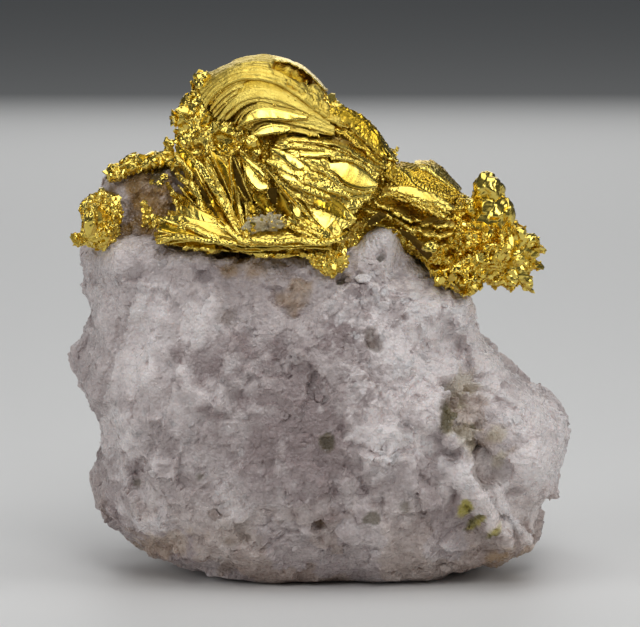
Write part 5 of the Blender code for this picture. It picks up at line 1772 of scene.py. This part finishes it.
# %% Flakes and chips on the quartz
x, y, z = rock_moved.T
on_knob = (x < -15.5) & (x > -21.6) & (z > 43.0) & (z < 50) & (y < -1)
patchy = smooth_step(0.25, 0.5, fractal(rock_moved, 2.2, 3, salt=91)) * on_knob + TINY
plates("gold_flakes_on_quartz", rock_moved, rock_normals, patchy, 420, 0.10, 0.50, 0.5, 36, crystal_gold)
sugary = (z > 1.5) * (0.3 + smooth_step(0.0, 0.5, fractal(rock_moved, 3.0, 3, salt=92)))
plates(
    "quartz_chips", rock_moved, rock_normals, sugary, 1500, 0.14, 0.65, 0.5, 37, milky_quartz, quartz_values
)
broken = (z > 2.0) * (1 - 0.9 * on_slab) * (0.15 + 0.85 * upper_right)
broken = broken * smooth_step(-0.1, 0.3, fractal(rock_moved, 5.0, 3, salt=93))
plates(
    "quartz_facets", rock_moved, rock_normals, broken, 220, 0.4, 1.2, 0.3, 43, milky_quartz, quartz_values
)

# %% [markdown]
# The free edges of the leaves have a fringe of the smallest crystals, and bold polished flakes stand out
# of the crust here and there.

# %% Crystals on the edges, and bold flakes
edges = np.concatenate(FREE_EDGES)
forward = np.zeros_like(edges) + [0.0, -0.9, 0.4]
crystals("gold_edge_crystals", edges, forward, np.ones(len(edges)), 2400, 0.06, 0.2, 35, crystal_gold)
bold = (1.0 * sponge + 0.35 * flank + 0.3 * rim_crust + 0.4 * slope) * open_crust * (growth[:, 1] < 0)
plates("gold_bold_flakes", growth, grown_normals, bold + TINY, 300, 0.35, 1.1, 0.7, 38, polished_gold)

# %% [markdown]
# The tuft is all crystals, with an arc of larger ones around the top of its hollow. Flakes of gold lie on
# the quartz in the lap as well, most of them at its two ends.

# %% Crystals on the tuft and in the lap
solid = 1.02 - hollow
crystals("gold_tuft_crystals", tuft, tuft_normals, solid, 200, 0.08, 0.22, 32, crystal_gold)
plates("gold_tuft_plates", tuft, tuft_normals, solid, 260, 0.14, 0.5, 0.6, 34, crystal_gold)
plates("gold_tuft_flakes", tuft, tuft_normals, solid, 36, 0.4, 1.0, 0.9, 39, polished_gold)
FORWARD = np.array([0.0, -1.0, 0.0])
TUFT_RIM = [
    (-28.0, -12.2, 45.6), (-27.6, -12.3, 46.8), (-26.6, -12.4, 47.6),
    (-25.7, -12.4, 47.6), (-25.1, -12.4, 46.6), (-24.8, -12.3, 45.6),
]
rim = smooth_line(TUFT_RIM, np.linspace(0, 1, 400))
rim = rim + 0.12 * np.random.default_rng(41).normal(size=rim.shape)
forward = np.broadcast_to(FORWARD, rim.shape)
crystals("gold_tuft_rim", rim, forward, np.ones(len(rim)), 110, 0.12, 0.34, 42, crystal_gold)
forward, at_ends = np.broadcast_to(FORWARD, lap.shape), 0.10 + (np.abs(lap[:, 0] + 6.3) > 1.5)
plates("gold_lap_flakes", lap, forward, at_ends, 190, 0.12, 0.45, 0.6, 40, crystal_gold)

# %% [markdown]
# ## Floor, light and camera
#
# The floor is plain and pale. Gold shows what stands around it, so the light comes from five large soft
# panels with a darker room between them: one straight above, one high in front, one on each side and one
# behind for the other side.

# %% Floor
floor_finish, tree, shader, place = new_finish("pale_floor")
shader.inputs["Base Color"].default_value = (0.78, 0.78, 0.77, 1)
shader.inputs["Roughness"].default_value = 0.6
HALF_FLOOR = 3000.0
corners = HALF_FLOOR * np.array([(-1, -1, 0), (1, -1, 0), (-1, 1, 0), (1, 1, 0)], float)
mesh = bpy.data.meshes.new("floor")
mesh.from_pydata((corners * MM).tolist(), [], grid_faces(2, 2).tolist())
floor = bpy.data.objects.new("floor", mesh)
mesh.materials.append(floor_finish)
bpy.context.scene.collection.objects.link(floor)
floor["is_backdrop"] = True

# %% Light
world = bpy.data.worlds.new("room")
bpy.context.scene.world = world
world.use_nodes = True
world.node_tree.nodes["Background"].inputs[0].default_value = (0.62, 0.66, 0.70, 1)
world.node_tree.nodes["Background"].inputs[1].default_value = 0.09


def soft_panel(name, place, power, size):
    """A square area light, in watts and metres, that looks at the middle of the specimen."""
    light = bpy.data.lights.new(name, "AREA")
    light.energy, light.size = power, size
    made = bpy.data.objects.new(name, light)
    made.location = place
    made.rotation_euler = (Vector((0, 0, 0.035)) - Vector(place)).to_track_quat("-Z", "Y").to_euler()
    bpy.context.scene.collection.objects.link(made)


PANELS = {
    "panel_above": ((0.0, -0.04, 0.60), 1.15, 0.42),
    "panel_front_above": ((0.08, -0.40, 0.44), 0.70, 0.22),
    "panel_left": ((-0.50, -0.22, 0.24), 0.70, 0.26),
    "panel_right": ((0.50, -0.16, 0.28), 0.70, 0.26),
    "panel_back": ((0.0, 0.60, 0.30), 0.8, 0.42),
}
for name, panel in PANELS.items():
    soft_panel(name, *panel)

# %% Camera
camera_data = bpy.data.cameras.new("camera")
camera_data.lens, camera_data.sensor_width = 206.4, 36.0
camera = bpy.data.objects.new("camera", camera_data)
bpy.context.scene.collection.objects.link(camera)
aim, tilt, distance = Vector((-0.0002, 0, 0.0316)), np.radians(8.0), 0.45
camera.location = aim + distance * Vector((0, -np.cos(tilt), np.sin(tilt)))
camera.rotation_euler = (aim - camera.location).to_track_quat("-Z", "Y").to_euler()
bpy.context.scene.camera = camera
bpy.context.scene.view_settings.view_transform = "Standard"

# %% Sizes, and finish
low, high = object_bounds()
print("the dressed box in mm:", [round(1000 * side, 1) for side in high - low])
